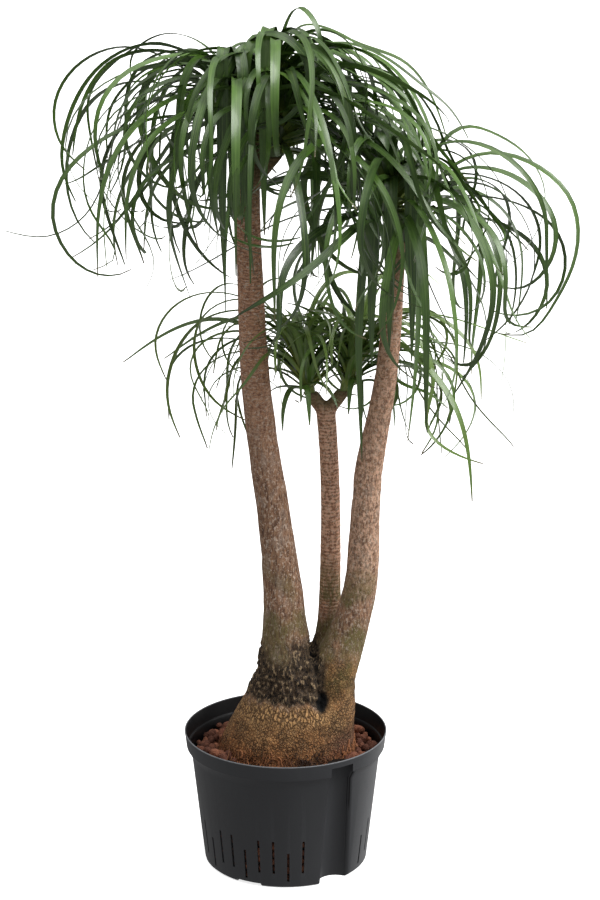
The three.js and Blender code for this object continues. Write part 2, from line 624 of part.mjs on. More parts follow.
// Every head's leaves, one at a time in turn. A leaf that would touch another head or the trunk, cross
// more than a leaf of its own head, or stray, is turned a little, and is left out if it finds no place.
const ATTEMPTS = 14;
const CROSSINGS = 3;

// The tuft of leaf bases that a head's leaves stand out of.
function coreSolid({ foot, point }) {
  const place = (share) => foot.map((value, i) => lerp(value, point[i], share));
  const sections = CORE.map(([share, radius]) => [...place(share), radius]);
  sections[0][2] += GAP;
  return stemSolid(sections, CORE_SIDES);
}

function meets(blade, others) {
  const box = blade.boundingBox();
  return others.filter((other) => {
    const theirs = other.boundingBox();
    const apart = [0, 1, 2].some((k) => box.min[k] > theirs.max[k] || box.max[k] < theirs.min[k]);
    return !apart && !blade.intersect(other).isEmpty();
  }).length;
}

function makeHeads(trunk) {
  const heads = Object.entries(HEADS).map(([name, head]) => {
    const placed = PLACED.filter((row) => row[0] === name);
    return { name, head, placed, solids: [coreSolid(head)], tails: [] };
  });
  const most = Math.max(...heads.map(({ head, placed }) => head.leaves + placed.length));
  for (let number = 0; number < most; number++) {
    for (const mine of heads) {
      const { head, placed, solids, tails } = mine;
      const rule = number - placed.length;
      const byHand = rule < 0;
      if (rule >= head.leaves) continue;
      const others = heads.filter((other) => other !== mine);
      const strangers = [trunk, ...others.flatMap((other) => other.solids)];
      for (let attempt = 0; attempt < ATTEMPTS; attempt++) {
        const leaf = byHand ? placedLeaf(head, placed[number], attempt) : ruleLeaf(head, rule, attempt);
        if (straysFrom(leaf)) continue;
        const tail = solidOf(bladeGeometry(leaf)).subtract(solids[0]);
        if (meets(tail, tails) > Math.floor(CROSSINGS * attempt / ATTEMPTS)) continue;
        if (meets(solidOf(bladeGeometry(leaf, CLEARANCE / 2)), strangers)) continue;
        solids.push(solidOf(bladeGeometry(leaf)));
        tails.push(tail);
        break;
      }
    }
  }
  return heads.map(({ name, solids }) => named(name, filled(union(solids)), looks.leaf));
}

const plant = new THREE.Group();
const trunk = makeTrunk();
plant.add(named('culture_pot', makePot(), looks.pot));
plant.add(named('clay_pebbles', makePebbles(), looks.pebbles));
plant.add(named('trunk', trunk, looks.bark));
plant.add(...makeHeads(trunk));

export default plant;
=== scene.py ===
"""A potted ponytail palm: bare stems on one swollen caudex, tufts of drooping strap leaves, and a moulded
culture pot filled with clay pebbles. Metres, +Z up, the origin on the ground under the middle of the
pot, -Y towards the side that is seen first. Azimuths are in degrees from +X towards +Y."""
import math

import bpy
import numpy as np
from mathutils import Euler, Matrix, Vector, noise


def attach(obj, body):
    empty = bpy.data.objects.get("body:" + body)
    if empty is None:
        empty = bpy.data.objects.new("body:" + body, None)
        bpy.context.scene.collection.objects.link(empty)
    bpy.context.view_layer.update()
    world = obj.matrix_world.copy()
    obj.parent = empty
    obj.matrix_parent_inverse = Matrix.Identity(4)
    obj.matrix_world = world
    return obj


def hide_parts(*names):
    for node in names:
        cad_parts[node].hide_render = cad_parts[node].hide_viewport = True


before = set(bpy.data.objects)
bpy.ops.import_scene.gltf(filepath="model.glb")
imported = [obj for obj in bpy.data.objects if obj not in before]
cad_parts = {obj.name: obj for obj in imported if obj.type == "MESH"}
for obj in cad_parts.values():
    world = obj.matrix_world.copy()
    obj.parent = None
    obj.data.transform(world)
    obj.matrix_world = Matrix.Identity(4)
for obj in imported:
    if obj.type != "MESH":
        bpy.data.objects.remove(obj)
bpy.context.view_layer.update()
bpy.ops.object.select_all(action="DESELECT")


# ----------------------------------------------------------------------------------------------------
# The culture pot. One injection moulding in anthracite plastic with a satin skin: a thin lip, an upright
# collar, a sloping shoulder, a tapering wall with water slots low down, a groove for a water gauge that
# ends in the collar, and a foot ring with gaps in it. The top of the lip is painted pale grey as a
# highlight, and the inside is painted darker as shade.

POT_HEIGHT = 0.190
RIM_RADIUS = 0.140
WALL = 0.0022
WALL_TOP_RADIUS = 0.130
WALL_BOTTOM_RADIUS = 0.1125
SHOULDER_Z = 0.155
COLLAR_Z = 0.168
COLLAR_RADIUS = 0.1373
FOOT_RISE = 0.005
FOOT_INNER_RADIUS = 0.103
FOOT_EDGE = 0.0035
CENTRE_PAD_RADIUS = 0.084
PAD_FLOOR = 0.0034
PAD_SLOPE = 0.004
LIP_WALL = 0.0016
LIP_ROUND = 0.0005
LIP_OUT = 0.0008  # how far the lip stands out over the collar
LIP_START = 0.005  # how far below the top it starts to stand out
LIP_FULL = 0.002  # and is full
STEP = 0.001  # how far the collar stands out over the shoulder, and the ledge inside it
POT_STEPS = 144
EDGE_ROUND = 0.0007
SHARP = math.radians(32)

GROOVE_TOP_Z = 0.181
GROOVE_FOOT = (-53.5, 0.1155, 0.024, -0.001)  # its middle's azimuth, how far out that is, radius, height
GROOVE_HEAD = (-55.5, 0.134, 0.018, 0.170)
GROOVE_STEPS = 64
GROOVE_ROUND = 0.0055  # of its edge on the right; the one on the left is crisp
GROOVE_ROUND_STEPS = 8
SPARE = 0.003  # how far a cutter stands out past the edge that it rounds

SLOT_WIDTH = 0.0034
SLOT_PITCH = 10
SLOT_FIRST_AZIMUTH = -78
SLOT_COUNT = 32
TALL_SLOT = (0.022, 0.072)
LOW_SLOT = (0.010, 0.054)
SLOT_CUT = 0.030  # how far out the cutters of the slots and of the notches reach
NOTCH_CUT = 0.020
MARGIN = 0.001  # by which a cutter starts before what it cuts
NOTCH_WIDTH = 0.038
NOTCH_COUNT = 5
NOTCH_FIRST_AZIMUTH = -117
NOTCH_PITCH = 60

ANTHRACITE = (0.0470, 0.0480, 0.0515)
ANTHRACITE_WORN = (0.058, 0.060, 0.063)
# a painted highlight along the top of the lip
LIP_HIGHLIGHT = (0.170, 0.174, 0.184)
# painted shade on the inside of the pot
INSIDE_SHADE = (0.0048, 0.0048, 0.0053)
INSIDE_SHADE_FROM = (0.100, 0.120)  # the heights over which the inside is painted darker as shade
# the heights over which the painted highlight on the lip comes in
LIP_HIGHLIGHT_FROM = POT_HEIGHT - 0.0016
LIP_HIGHLIGHT_FULL = POT_HEIGHT - 0.0003


def lerp(low, high, share):
    return low + (high - low) * share


def select_only(piece):
    bpy.ops.object.select_all(action="DESELECT")
    piece.select_set(True)
    bpy.context.view_layer.objects.active = piece


def turn_outwards(piece):
    """Makes all the faces of a closed piece point out."""
    select_only(piece)
    bpy.ops.object.mode_set(mode="EDIT")
    bpy.ops.mesh.select_all(action="SELECT")
    bpy.ops.mesh.normals_make_consistent(inside=False)
    bpy.ops.object.mode_set(mode="OBJECT")


def grow(name, sections, sides):
    """A closed solid, extruded from section to section, each x, y, z, radius across and in depth."""
    x, y, z, across, depth = sections[0]
    bpy.ops.mesh.primitive_circle_add(vertices=sides, radius=1, fill_type="NGON", location=(x, y, z))
    piece = bpy.context.object
    piece.name = name
    piece.scale = (across, depth, 1)
    bpy.ops.object.transform_apply(location=True, rotation=True, scale=True)
    bpy.ops.object.mode_set(mode="EDIT")
    bpy.ops.mesh.select_all(action="SELECT")
    for next_x, next_y, next_z, next_across, next_depth in sections[1:]:
        step = (next_x - x, next_y - y, next_z - z)
        bpy.ops.mesh.extrude_region_move(TRANSFORM_OT_translate={"value": step})
        stretch = (next_across / across, next_depth / depth, 1)
        bpy.ops.transform.resize(value=stretch, center_override=(next_x, next_y, next_z))
        x, y, z, across, depth = next_x, next_y, next_z, next_across, next_depth
    bpy.ops.object.mode_set(mode="OBJECT")
    turn_outwards(piece)
    return piece


def turned(name, profile, sides):
    """A closed solid of revolution, from a profile of radius and height pairs."""
    return grow(name, [(0, 0, height, radius, radius) for radius, height in profile], sides)


def modify(piece, kind, **settings):
    """Adds a modifier to a piece and applies it."""
    select_only(piece)
    modifier = piece.modifiers.new(kind.lower(), kind)
    for setting, value in settings.items():
        setattr(modifier, setting, value)
    bpy.ops.object.modifier_apply(modifier=modifier.name)


def combine(piece, other, operation):
    """Joins another solid to a piece, or cuts it with that solid, which is then removed."""
    modify(piece, "BOOLEAN", operation=operation, solver="EXACT", object=other)
    modify(piece, "WELD", merge_threshold=0.00002)
    bpy.data.objects.remove(other)


def joined(name, pieces):
    select_only(pieces[0])
    for piece in pieces:
        piece.select_set(True)
    bpy.ops.object.join()
    pieces[0].name = name
    return pieces[0]


def tube_faces(first, rings, sides):
    """The faces of a tube with closed ends, whose rings of corners follow on each other from its first."""
    end = first + sides * (rings - 1)
    faces = []
    for a in range(first, end, sides):
        pairs = [(a + k, a + (k + 1) % sides) for k in range(sides)]
        faces += [(left, right, right + sides, left + sides) for left, right in pairs]
    return faces + [tuple(reversed(range(first, first + sides))), tuple(range(end, end + sides))]


def from_faces(name, corners, faces):
    """A piece made straight from the corners and the faces of its mesh."""
    mesh = bpy.data.meshes.new(name)
    mesh.from_pydata(corners, [], faces)
    piece = bpy.data.objects.new(name, mesh)
    bpy.context.collection.objects.link(piece)
    return piece


def groove_at(z):
    """The middle of the gauge groove's round core and its radius, which grows towards the foot."""
    share = (z - GROOVE_FOOT[3]) / (GROOVE_HEAD[3] - GROOVE_FOOT[3])
    azimuth, along, radius = (lerp(low, high, share) for low, high in zip(GROOVE_FOOT[:3], GROOVE_HEAD))
    turn = math.radians(azimuth)
    return along * math.cos(turn), along * math.sin(turn), radius


def groove_core(extra, top):
    """The round core of the gauge groove, which leans with the wall."""
    sections = []
    for z in (GROOVE_FOOT[3], top):
        x, y, radius = groove_at(z)
        sections.append((x, y, z, radius + extra, radius + extra))
    return grow("groove_core", sections, GROOVE_STEPS)


def edge_cutter(levels):
    """What is cut off the groove's right edge to round it, from heights and the pot's radius there."""
    corners = []
    for z, outer in levels:
        middle_x, middle_y, radius = groove_at(z)
        out = math.hypot(middle_x, middle_y)
        spread = math.acos((outer ** 2 + out ** 2 - radius ** 2) / (2 * outer * out))
        turn = math.atan2(middle_y, middle_x) + spread
        inward = -Vector((math.cos(turn), math.sin(turn), 0))
        aside = Vector((-math.sin(turn), math.cos(turn), 0))
        edge = -outer * inward + Vector((0, 0, z))
        heart = edge + GROOVE_ROUND * (inward + aside)
        arc = [heart - GROOVE_ROUND * (math.cos(t) * inward + math.sin(t) * aside)
               for t in np.linspace(0, math.pi / 2, GROOVE_ROUND_STEPS + 1)]
        ring = [edge - SPARE * (aside + inward), arc[0] - SPARE * inward, *arc, arc[-1] - SPARE * aside]
        corners += ring
    cutter = from_faces("edge_cutter", corners, tube_faces(0, len(levels), len(ring)))
    turn_outwards(cutter)
    return cutter


def radial_box(azimuth, radius, length, width, low, high):
    """A box that starts at a radius and points out along an azimuth."""
    turn = math.radians(azimuth)
    middle = radius + length / 2
    place = (middle * math.cos(turn), middle * math.sin(turn), (low + high) / 2)
    bpy.ops.mesh.primitive_cube_add(size=1, location=place, rotation=(0, 0, turn))
    box = bpy.context.object
    box.scale = (length, width, high - low)
    bpy.ops.object.transform_apply(location=True, rotation=True, scale=True)
    return box


def wall_radius(z):
    return lerp(WALL_BOTTOM_RADIUS, WALL_TOP_RADIUS, z / SHOULDER_Z)


bottom = [
    (CENTRE_PAD_RADIUS, 0),
    (CENTRE_PAD_RADIUS + PAD_SLOPE, FOOT_RISE),
    (FOOT_INNER_RADIUS, FOOT_RISE),
    (FOOT_INNER_RADIUS, 0),
]
outside = [
    (WALL_BOTTOM_RADIUS - FOOT_EDGE, 0),
    (wall_radius(FOOT_EDGE), FOOT_EDGE),
    (WALL_TOP_RADIUS, SHOULDER_Z),
    (COLLAR_RADIUS - STEP, COLLAR_Z - STEP / 2),
    (COLLAR_RADIUS, COLLAR_Z + STEP / 2),
    (RIM_RADIUS - LIP_OUT, POT_HEIGHT - LIP_START),
    (RIM_RADIUS, POT_HEIGHT - LIP_FULL),
    (RIM_RADIUS, POT_HEIGHT - LIP_ROUND),
    (RIM_RADIUS - LIP_ROUND, POT_HEIGHT),
]
inside = [
    (RIM_RADIUS - LIP_WALL, POT_HEIGHT),
    (COLLAR_RADIUS - WALL, COLLAR_Z + STEP),
    (COLLAR_RADIUS - WALL - 2 * STEP, COLLAR_Z + STEP / 2),
    (COLLAR_RADIUS - WALL - 3 * STEP, COLLAR_Z - 3 * STEP),
    (WALL_TOP_RADIUS - WALL, SHOULDER_Z),
    (wall_radius(FOOT_RISE + WALL) - WALL, FOOT_RISE + WALL),
    (CENTRE_PAD_RADIUS + PAD_SLOPE, FOOT_RISE + WALL),
    (CENTRE_PAD_RADIUS, PAD_FLOOR),
]

pot = turned("pot", bottom + outside + inside, POT_STEPS)
modify(pot, "BEVEL", width=EDGE_ROUND, segments=2, limit_method="ANGLE", angle_limit=SHARP)
gauge_tube = turned("gauge_tube", outside, POT_STEPS)
combine(gauge_tube, groove_core(WALL, GROOVE_TOP_Z + WALL), "INTERSECT")
combine(pot, gauge_tube, "UNION")
combine(pot, groove_core(0, GROOVE_TOP_Z), "DIFFERENCE")
combine(pot, edge_cutter([
    (-MARGIN, wall_radius(0)), (SHOULDER_Z, WALL_TOP_RADIUS), (COLLAR_Z, COLLAR_RADIUS - STEP),
]), "DIFFERENCE")
openings = []
for slot in range(SLOT_COUNT):
    low, high = LOW_SLOT if slot % 3 == 1 else TALL_SLOT
    azimuth = SLOT_FIRST_AZIMUTH - slot * SLOT_PITCH
    openings.append(radial_box(azimuth, FOOT_INNER_RADIUS, SLOT_CUT, SLOT_WIDTH, low, high))
for notch in range(NOTCH_COUNT):
    azimuth = NOTCH_FIRST_AZIMUTH - notch * NOTCH_PITCH
    start = FOOT_INNER_RADIUS - MARGIN
    openings.append(radial_box(azimuth, start, NOTCH_CUT, NOTCH_WIDTH, -MARGIN, FOOT_RISE))
combine(pot, joined("openings", openings), "DIFFERENCE")
select_only(pot)
bpy.ops.object.shade_smooth_by_angle(angle=SHARP)


def is_inside(x, y, z):
    """Whether a place on the pot is on its inner side, which the groove's own face isn't."""
    middle_x, middle_y, radius = groove_at(z)
    if math.hypot(x - middle_x, y - middle_y) < radius + WALL / 2:
        return False
    heights = (0, SHOULDER_Z, COLLAR_Z, POT_HEIGHT)
    half = WALL / 2
    middles = [WALL_BOTTOM_RADIUS - half, WALL_TOP_RADIUS - half, COLLAR_RADIUS - half]
    return math.hypot(x, y) < np.interp(z, heights, [*middles, RIM_RADIUS - LIP_WALL / 2])


def set_attribute(mesh, name, values):
    attribute = mesh.attributes.get(name) or mesh.attributes.new(name, "FLOAT", "POINT")
    attribute.data.foreach_set("value", np.asarray(values, np.float32))


class Field:
    """A value that varies over a surface: an output socket of a material's node, used as a number is."""

    def __init__(self, socket):
        self.socket = socket

    def node(self, kind, settings=None, inputs=None, output=0):
        """Another node of the same material, with its settings made first and then its sockets."""
        tree = self.socket.id_data
        made = tree.nodes.new("ShaderNode" + kind)
        for setting, value in (settings or {}).items():
            setattr(made, setting, value)
        for socket, value in (inputs or {}).items():
            if isinstance(value, Field):
                tree.links.new(value.socket, made.inputs[socket])
            else:
                made.inputs[socket].default_value = value
        return Field(made.outputs[output])

    def math(self, operation, *values):
        return self.node("Math", {"operation": operation}, dict(enumerate(values)))

    def __add__(self, other):
        return self.math("ADD", self, other)

    __radd__ = __add__

    def __sub__(self, other):
        return self.math("SUBTRACT", self, other)

    def __rsub__(self, other):
        return self.math("SUBTRACT", other, self)

    def __mul__(self, other):
        return self.math("MULTIPLY", self, other)

    __rmul__ = __mul__

    def __pow__(self, other):
        return self.math("POWER", self, other)

    def attribute(self, name):
        """What the piece's own mesh holds under a name at each place."""
        return self.node("Attribute", {"attribute_name": name}, output=2)

    def axis(self, letter):
        """These coordinates along X, Y or Z."""
        return self.node("SeparateXYZ", inputs={"Vector": self}, output="XYZ".index(letter))

    def rise(self, low, high):
        """0 below low and 1 above high, with a soft step between them."""
        ends = {"Value": self, "From Min": low, "From Max": high}
        return self.node("MapRange", {"interpolation_type": "SMOOTHSTEP"}, ends)

    def blend(self, low, high):
        """A colour that goes from low to high as this mask goes from 0 to 1."""
        ends = [colour if isinstance(colour, Field) else (*colour, 1) for colour in (low, high)]
        return self.node("Mix", {"data_type": "RGBA"}, {0: self, 6: ends[0], 7: ends[1]}, output=2)

    def stretched(self, *scale):
        """These coordinates, scaled along each axis."""
        return self.node("Mapping", inputs={"Vector": self, "Scale": scale})

    def grain(self, scale, detail=3, roughness=0.55):
        """A soft cloudy pattern on these coordinates, from 0 to 1."""
        look = {"Vector": self, "Scale": scale, "Detail": detail, "Roughness": roughness}
        return self.node("TexNoise", inputs=look)

    def relief(self, strength, distance):
        """The normal of a surface that this height stands up from, up to a distance in metres."""
        return self.node("Bump", inputs={"Height": self, "Strength": strength, "Distance": distance})


def new_finish(name, coordinates="Object", **constants):
    """A material, and the coordinates that its patterns are laid on."""
    material = bpy.data.materials.new(name)
    material.use_nodes = True
    nodes = material.node_tree.nodes
    for socket, value in constants.items():
        nodes["Principled BSDF"].inputs[socket.replace("_", " ")].default_value = value
    return material, Field(nodes.new("ShaderNodeTexCoord").outputs[coordinates])


def wire(material, **fields):
    """Lets fields feed the sockets of a material's shader."""
    tree = material.node_tree
    for socket, field in fields.items():
        tree.links.new(field.socket, tree.nodes["Principled BSDF"].inputs[socket.replace("_", " ")])


def dress(piece, material, node):
    """Gives a piece its material, hides the imported solid it stands for and attaches it to the root body."""
    piece.data.materials.clear()
    piece.data.materials.append(material)
    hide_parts(node)
    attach(piece, "root")


set_attribute(pot.data, "within", [is_inside(*vertex.co) for vertex in pot.data.vertices])
satin_plastic, on_pot = new_finish("satin_plastic", Specular_IOR_Level=0.22)
flow = on_pot.stretched(1, 1, 0.35).grain(22, 4)
handling = on_pot.grain(160, 5, 0.7)
skin = on_pot.grain(1400, 2)
pot_height = on_pot.axis("Z")
moulded = (flow.rise(0.42, 0.68) * 0.35 + handling.rise(0.62, 0.78) * 0.25).blend(ANTHRACITE, ANTHRACITE_WORN)
inner = on_pot.attribute("within")
# Painted shade: the upper inside of the pot is darkened.
moulded = (inner.rise(0.3, 0.9) * pot_height.rise(*INSIDE_SHADE_FROM)).blend(moulded, INSIDE_SHADE)
wire(
    satin_plastic,
    # a painted highlight along the top of the lip
    Base_Color=pot_height.rise(LIP_HIGHLIGHT_FROM, LIP_HIGHLIGHT_FULL).blend(moulded, LIP_HIGHLIGHT),
    Roughness=0.42 + flow * 0.12 + handling.rise(0.55, 0.8) * 0.08 - inner * 0.16,
    Normal=(skin + handling * 0.6).relief(0.25, 0.0002),
)
dress(pot, satin_plastic, "culture_pot")


# ----------------------------------------------------------------------------------------------------
# The clay pebbles. Loose grains of fired red-brown clay, 8 to 16 mm, heaped round the foot of the plant
# and pressed against the inside of the slots. One grain is modelled in a few shapes and copied, over a
# bed that fills the pot behind them and is painted dark as the shade between them.

PEBBLE_LEVEL = 0.165
PEBBLE_RADIUS = 0.0076
PEBBLE_KINDS = 6
PEBBLE_SIZES = (0.55, 1.15)  # from the smallest to the largest, as shares of that radius
PEBBLES_ON_TOP = 330  # in each of the two layers
PEBBLE_LAYERS = (0.0058, 0.0143)  # how far below the level the middles of their grains are
PEBBLE_SCATTER = 0.0022  # how far they stray sideways, and up or down
SINK_SCATTER = 0.0020
LAYER_TURN = 1.3
HEAP_HEIGHT = 0.003
HEAP_SCALE = 30
BESIDE_SLOTS = (0.75, 1.0)  # the sizes of the grains behind the slots
SLOT_GRAINS = (0.013, 0.078)  # and the heights between which they lie
SLOT_SWING = 0.012  # how far round the pot they stray, as an angle
GRAIN_GAP = 0.0004
ROOT_MAT = (-0.070, 0.052, -0.050)  # where roots lie instead of grains: from x, to x, and in front of that y
BED_LEVEL = 0.155
BED_REACH = 0.127
BED_FOOT_INSET = 0.019  # how far inside the pot's outer face the bed ends, at its foot and at the shoulder
BED_INSET = 0.016
BED_GAP = 0.001  # between the bed and the pot's bottom
FOOT_OF_CAUDEX = (0.002, 0.004, 0.088, 0.069)  # its middle, and its radii at the level of the pebbles
GOLDEN_ANGLE = math.radians(137.508)

CLAY = (0.125, 0.050, 0.033)
CLAY_LIGHT = (0.440, 0.175, 0.098)
# painted shade on the bed between the grains, and the dark of the pores on the grains
CLAY_PORES_AND_SHADE = (0.016, 0.008, 0.006)


def pebble(kind):
    """A rounded grain with a few flats and hollows."""
    bpy.ops.mesh.primitive_ico_sphere_add(subdivisions=2, radius=1, location=(0, 0, 0))
    grain = bpy.context.object
    for vertex in grain.data.vertices:
        lump = noise.noise(vertex.co * 1.1 + Vector((7.3 * kind, 0, 0)))
        pit = noise.noise(vertex.co * 2.9 + Vector((0, 5.1 * kind, 0)))
        vertex.co *= 1 + 0.42 * lump + 0.20 * pit
    bpy.ops.object.shade_smooth()
    return grain


def inner_radius(z):
    """How far out the pot's inner face is."""
    if z < SHOULDER_Z:
        return wall_radius(z) - WALL
    share = min(1, (z - SHOULDER_Z) / (COLLAR_Z - SHOULDER_Z))
    return lerp(WALL_TOP_RADIUS, COLLAR_RADIUS, share) - WALL


def in_groove(x, y, z, room):
    """Whether a place is in the gauge groove or closer than that to its wall."""
    middle_x, middle_y, radius = groove_at(z)
    return math.hypot(x - middle_x, y - middle_y) < radius + WALL + room


def pebble_places():
    """Where the grains lie and how large they are: heaped on top in two layers, and behind every slot."""
    draw = np.random.default_rng(28)
    middle_x, middle_y, across, depth = FOOT_OF_CAUDEX
    for layer, sink in enumerate(PEBBLE_LAYERS):
        for i in range(PEBBLES_ON_TOP):
            radius = BED_REACH * math.sqrt((i + 0.5) / PEBBLES_ON_TOP)
            turn = i * GOLDEN_ANGLE + LAYER_TURN * layer
            x = radius * math.cos(turn) + draw.normal(0, PEBBLE_SCATTER)
            y = radius * math.sin(turn) + draw.normal(0, PEBBLE_SCATTER)
            heap = HEAP_HEIGHT * noise.noise(Vector((x * HEAP_SCALE, y * HEAP_SCALE, 0)))
            size = PEBBLE_RADIUS * draw.uniform(*PEBBLE_SIZES)
            z = PEBBLE_LEVEL - sink + heap + draw.normal(0, SINK_SCATTER)
            under_plant = math.hypot((x - middle_x) / across, (y - middle_y) / depth) < 1
            in_mat = layer == 0 and ROOT_MAT[0] < x < ROOT_MAT[1] and y < ROOT_MAT[2]
            if under_plant or in_mat or in_groove(x, y, z, 1.1 * size):
                continue
            share = min(1, (inner_radius(z) - 1.2 * size) / math.hypot(x, y))
            yield x * share, y * share, z, size
    for slot in range(SLOT_COUNT):
        turn = math.radians(SLOT_FIRST_AZIMUTH - slot * SLOT_PITCH)
        z, top = SLOT_GRAINS
        while z < top:
            size = PEBBLE_RADIUS * draw.uniform(*BESIDE_SLOTS)
            radius = inner_radius(z) - size - GRAIN_GAP
            swing = turn + draw.normal(0, SLOT_SWING)
            yield radius * math.cos(swing), radius * math.sin(swing), z, size
            z += 1.9 * size


# the bed behind the grains, painted dark as the shade between them
shade_bed = turned("pebbles", [
    (CENTRE_PAD_RADIUS - 2 * BED_GAP, PAD_FLOOR + BED_GAP),
    (wall_radius(0) - BED_FOOT_INSET, FOOT_RISE + WALL + BED_GAP),
    (wall_radius(SHOULDER_Z) - BED_INSET, SHOULDER_Z),
    (BED_REACH - 2 * BED_GAP, BED_LEVEL),
], 72)
combine(shade_bed, groove_core(WALL + BED_GAP / 2, POT_HEIGHT), "DIFFERENCE")
# tone 0 marks the bed, which the clay finish paints dark as shade
set_attribute(shade_bed.data, "tone", np.zeros(len(shade_bed.data.vertices)))
kinds = [pebble(kind) for kind in range(PEBBLE_KINDS)]
draw = np.random.default_rng(19)
grains = [shade_bed]
for x, y, z, size in pebble_places():
    grain = kinds[draw.integers(PEBBLE_KINDS)].copy()
    grain.data = grain.data.copy()
    bpy.context.collection.objects.link(grain)
    turn = Euler(draw.uniform(0, 2 * math.pi, 3)).to_matrix().to_4x4()
    shape = Matrix.Diagonal((size * 1.1, size * draw.uniform(0.85, 1), size * draw.uniform(0.7, 0.95), 1))
    grain.data.transform(Matrix.Translation((x, y, z)) @ turn @ shape)
    set_attribute(grain.data, "tone", np.full(len(grain.data.vertices), 0.25 + 0.75 * draw.uniform() ** 1.6))
    grains.append(grain)
pebbles = joined("pebbles", grains)
for kind in kinds:
    bpy.data.objects.remove(kind)

fired_clay, on_clay = new_finish("fired_clay", Roughness=0.93, Specular_IOR_Level=0.3)
tone = on_clay.attribute("tone")
dust = on_clay.grain(420, 5, 0.7)
pores = on_clay.grain(1500, 3, 0.6)
lumps = on_clay.grain(330, 2, 0.5)
clay_colour = (tone.rise(0.3, 1.0) * 0.7 + dust.rise(0.45, 0.75) * 0.4).blend(CLAY, CLAY_LIGHT)
wire(
    fired_clay,
    # painted shade: the bed at tone 0 is dark; pores on the grains take the same dark
    Base_Color=(tone.rise(0.05, 0.3) * pores.rise(0.28, 0.42)).blend(CLAY_PORES_AND_SHADE, clay_colour),
    Normal=(lumps * 1.5 + dust + pores * 0.7).relief(0.9, 0.0014),
)
dress(pebbles, fired_clay, "clay_pebbles")


# ----------------------------------------------------------------------------------------------------
# The trunk. The swollen caudex and the three stems grew as one: corky bark cracked into a net on the
# caudex, a mat of fine roots at its foot, a charred-looking collar of flaking old bark above it, with a
# hollow and a cleft between the stems' feet that are painted dark as shade, fissures up the thick stems,
# and leaf scars on younger wood.

CAUDEX = [
    (0.003, 0.005, 0.100, 0.058, 0.050),
    (0.002, 0.004, 0.128, 0.082, 0.070),
    (0.002, 0.004, 0.160, 0.092, 0.073),
    (0.006, 0.005, 0.189, 0.089, 0.070),
    (0.013, 0.006, 0.213, 0.083, 0.066),
    (0.021, 0.007, 0.243, 0.075, 0.058),
    (0.027, 0.008, 0.269, 0.069, 0.052),
    (0.035, 0.009, 0.299, 0.056, 0.043),
]
LEFT_STEM = [
    (0.006, -0.002, 0.240, 0.046),
    (0.002, -0.002, 0.291, 0.039),
    (0.0005, -0.002, 0.320, 0.0333),
    (-0.0015, -0.002, 0.369, 0.0286),
    (-0.007, -0.002, 0.434, 0.0248),
    (-0.018, -0.002, 0.523, 0.0225),
    (-0.038, -0.002, 0.675, 0.020),
    (-0.0455, -0.002, 0.816, 0.0177),
    (-0.048, -0.002, 0.897, 0.0166),
    (-0.048, -0.003, 0.985, 0.0155),
]
RIGHT_STEM = [
    (0.052, -0.004, 0.236, 0.036),
    (0.0705, -0.006, 0.298, 0.0336),
    (0.0825, -0.007, 0.329, 0.0284),
    (0.101, -0.008, 0.395, 0.0236),
    (0.109, -0.008, 0.523, 0.020),
    (0.115, -0.008, 0.582, 0.0188),
    (0.1315, -0.008, 0.675, 0.0158),
    (0.1445, -0.006, 0.830, 0.0136),
    (0.147, -0.003, 0.880, 0.013),
]
CENTRE_STEM = [
    (0.052, 0.030, 0.280, 0.024),
    (0.059, 0.034, 0.318, 0.018),
    (0.061, 0.035, 0.360, 0.0156),
    (0.062, 0.034, 0.440, 0.0142),
    (0.058, 0.032, 0.600, 0.0132),
    (0.054, 0.031, 0.650, 0.0136),
]
STEMS = [LEFT_STEM, RIGHT_STEM, CENTRE_STEM]

# The heads that the stems end in: where the neck starts inside the stem, where the tuft starts, its
# growing point, how many leaves the rule adds, and their length.
HEADS = {
    "left_head_1": ((-0.048, -0.004, 0.965), (-0.062, -0.008, 1.035), (-0.069, -0.010, 1.092), 27, 0.44),
    "left_head_2": ((-0.046, 0.000, 0.965), (-0.024, 0.010, 1.050), (-0.014, 0.015, 1.112), 54, 0.43),
    "left_head_3": ((-0.044, -0.006, 0.960), (-0.012, -0.012, 1.000), (-0.002, -0.016, 1.052), 74, 0.39),
    "right_head_1": ((0.146, -0.006, 0.865), (0.141, -0.016, 0.915), (0.139, -0.018, 0.968), 38, 0.40),
    "right_head_2": ((0.148, -0.002, 0.850), (0.167, 0.015, 0.880), (0.172, 0.019, 0.926), 20, 0.40),
    "centre_head_1": ((0.052, 0.031, 0.640), (0.034, 0.026, 0.668), (0.020, 0.022, 0.716), 60, 0.29),
    "centre_head_2": ((0.058, 0.032, 0.640), (0.080, 0.035, 0.668), (0.098, 0.038, 0.722), 60, 0.29),
}
NECK_RADIUS = 0.011
NECK_FOOT_RADIUS = 0.012
NECK_STEPS = 24
TRUNK_STEPS = 48
SECTION_STEP = 0.012
TRUNK_GRID = 0.0024

FIBRES = 560
FIBRE_TOP = 0.182
FIBRE_START = 0.022  # how far below that the lowest ones start
FIBRE_FOOT = 0.157
FIBRE_REACH = 0.014  # how far their feet stand out from the caudex
FIBRE_THICKNESS = (0.0004, 0.0009)
FIBRE_GAP = 0.0008  # how far they lie off the caudex
FIBRE_SWEEP = 0.16  # how far they slant, as an angle round the caudex
FIBRE_WAVE = (0.0022, 0.03)  # how far they wave, in height and as such an angle
FIBRE_STEPS = 8
DARK_ROOTS = (-1.25, 0.30)  # the angle where they are dark, and how far that spreads

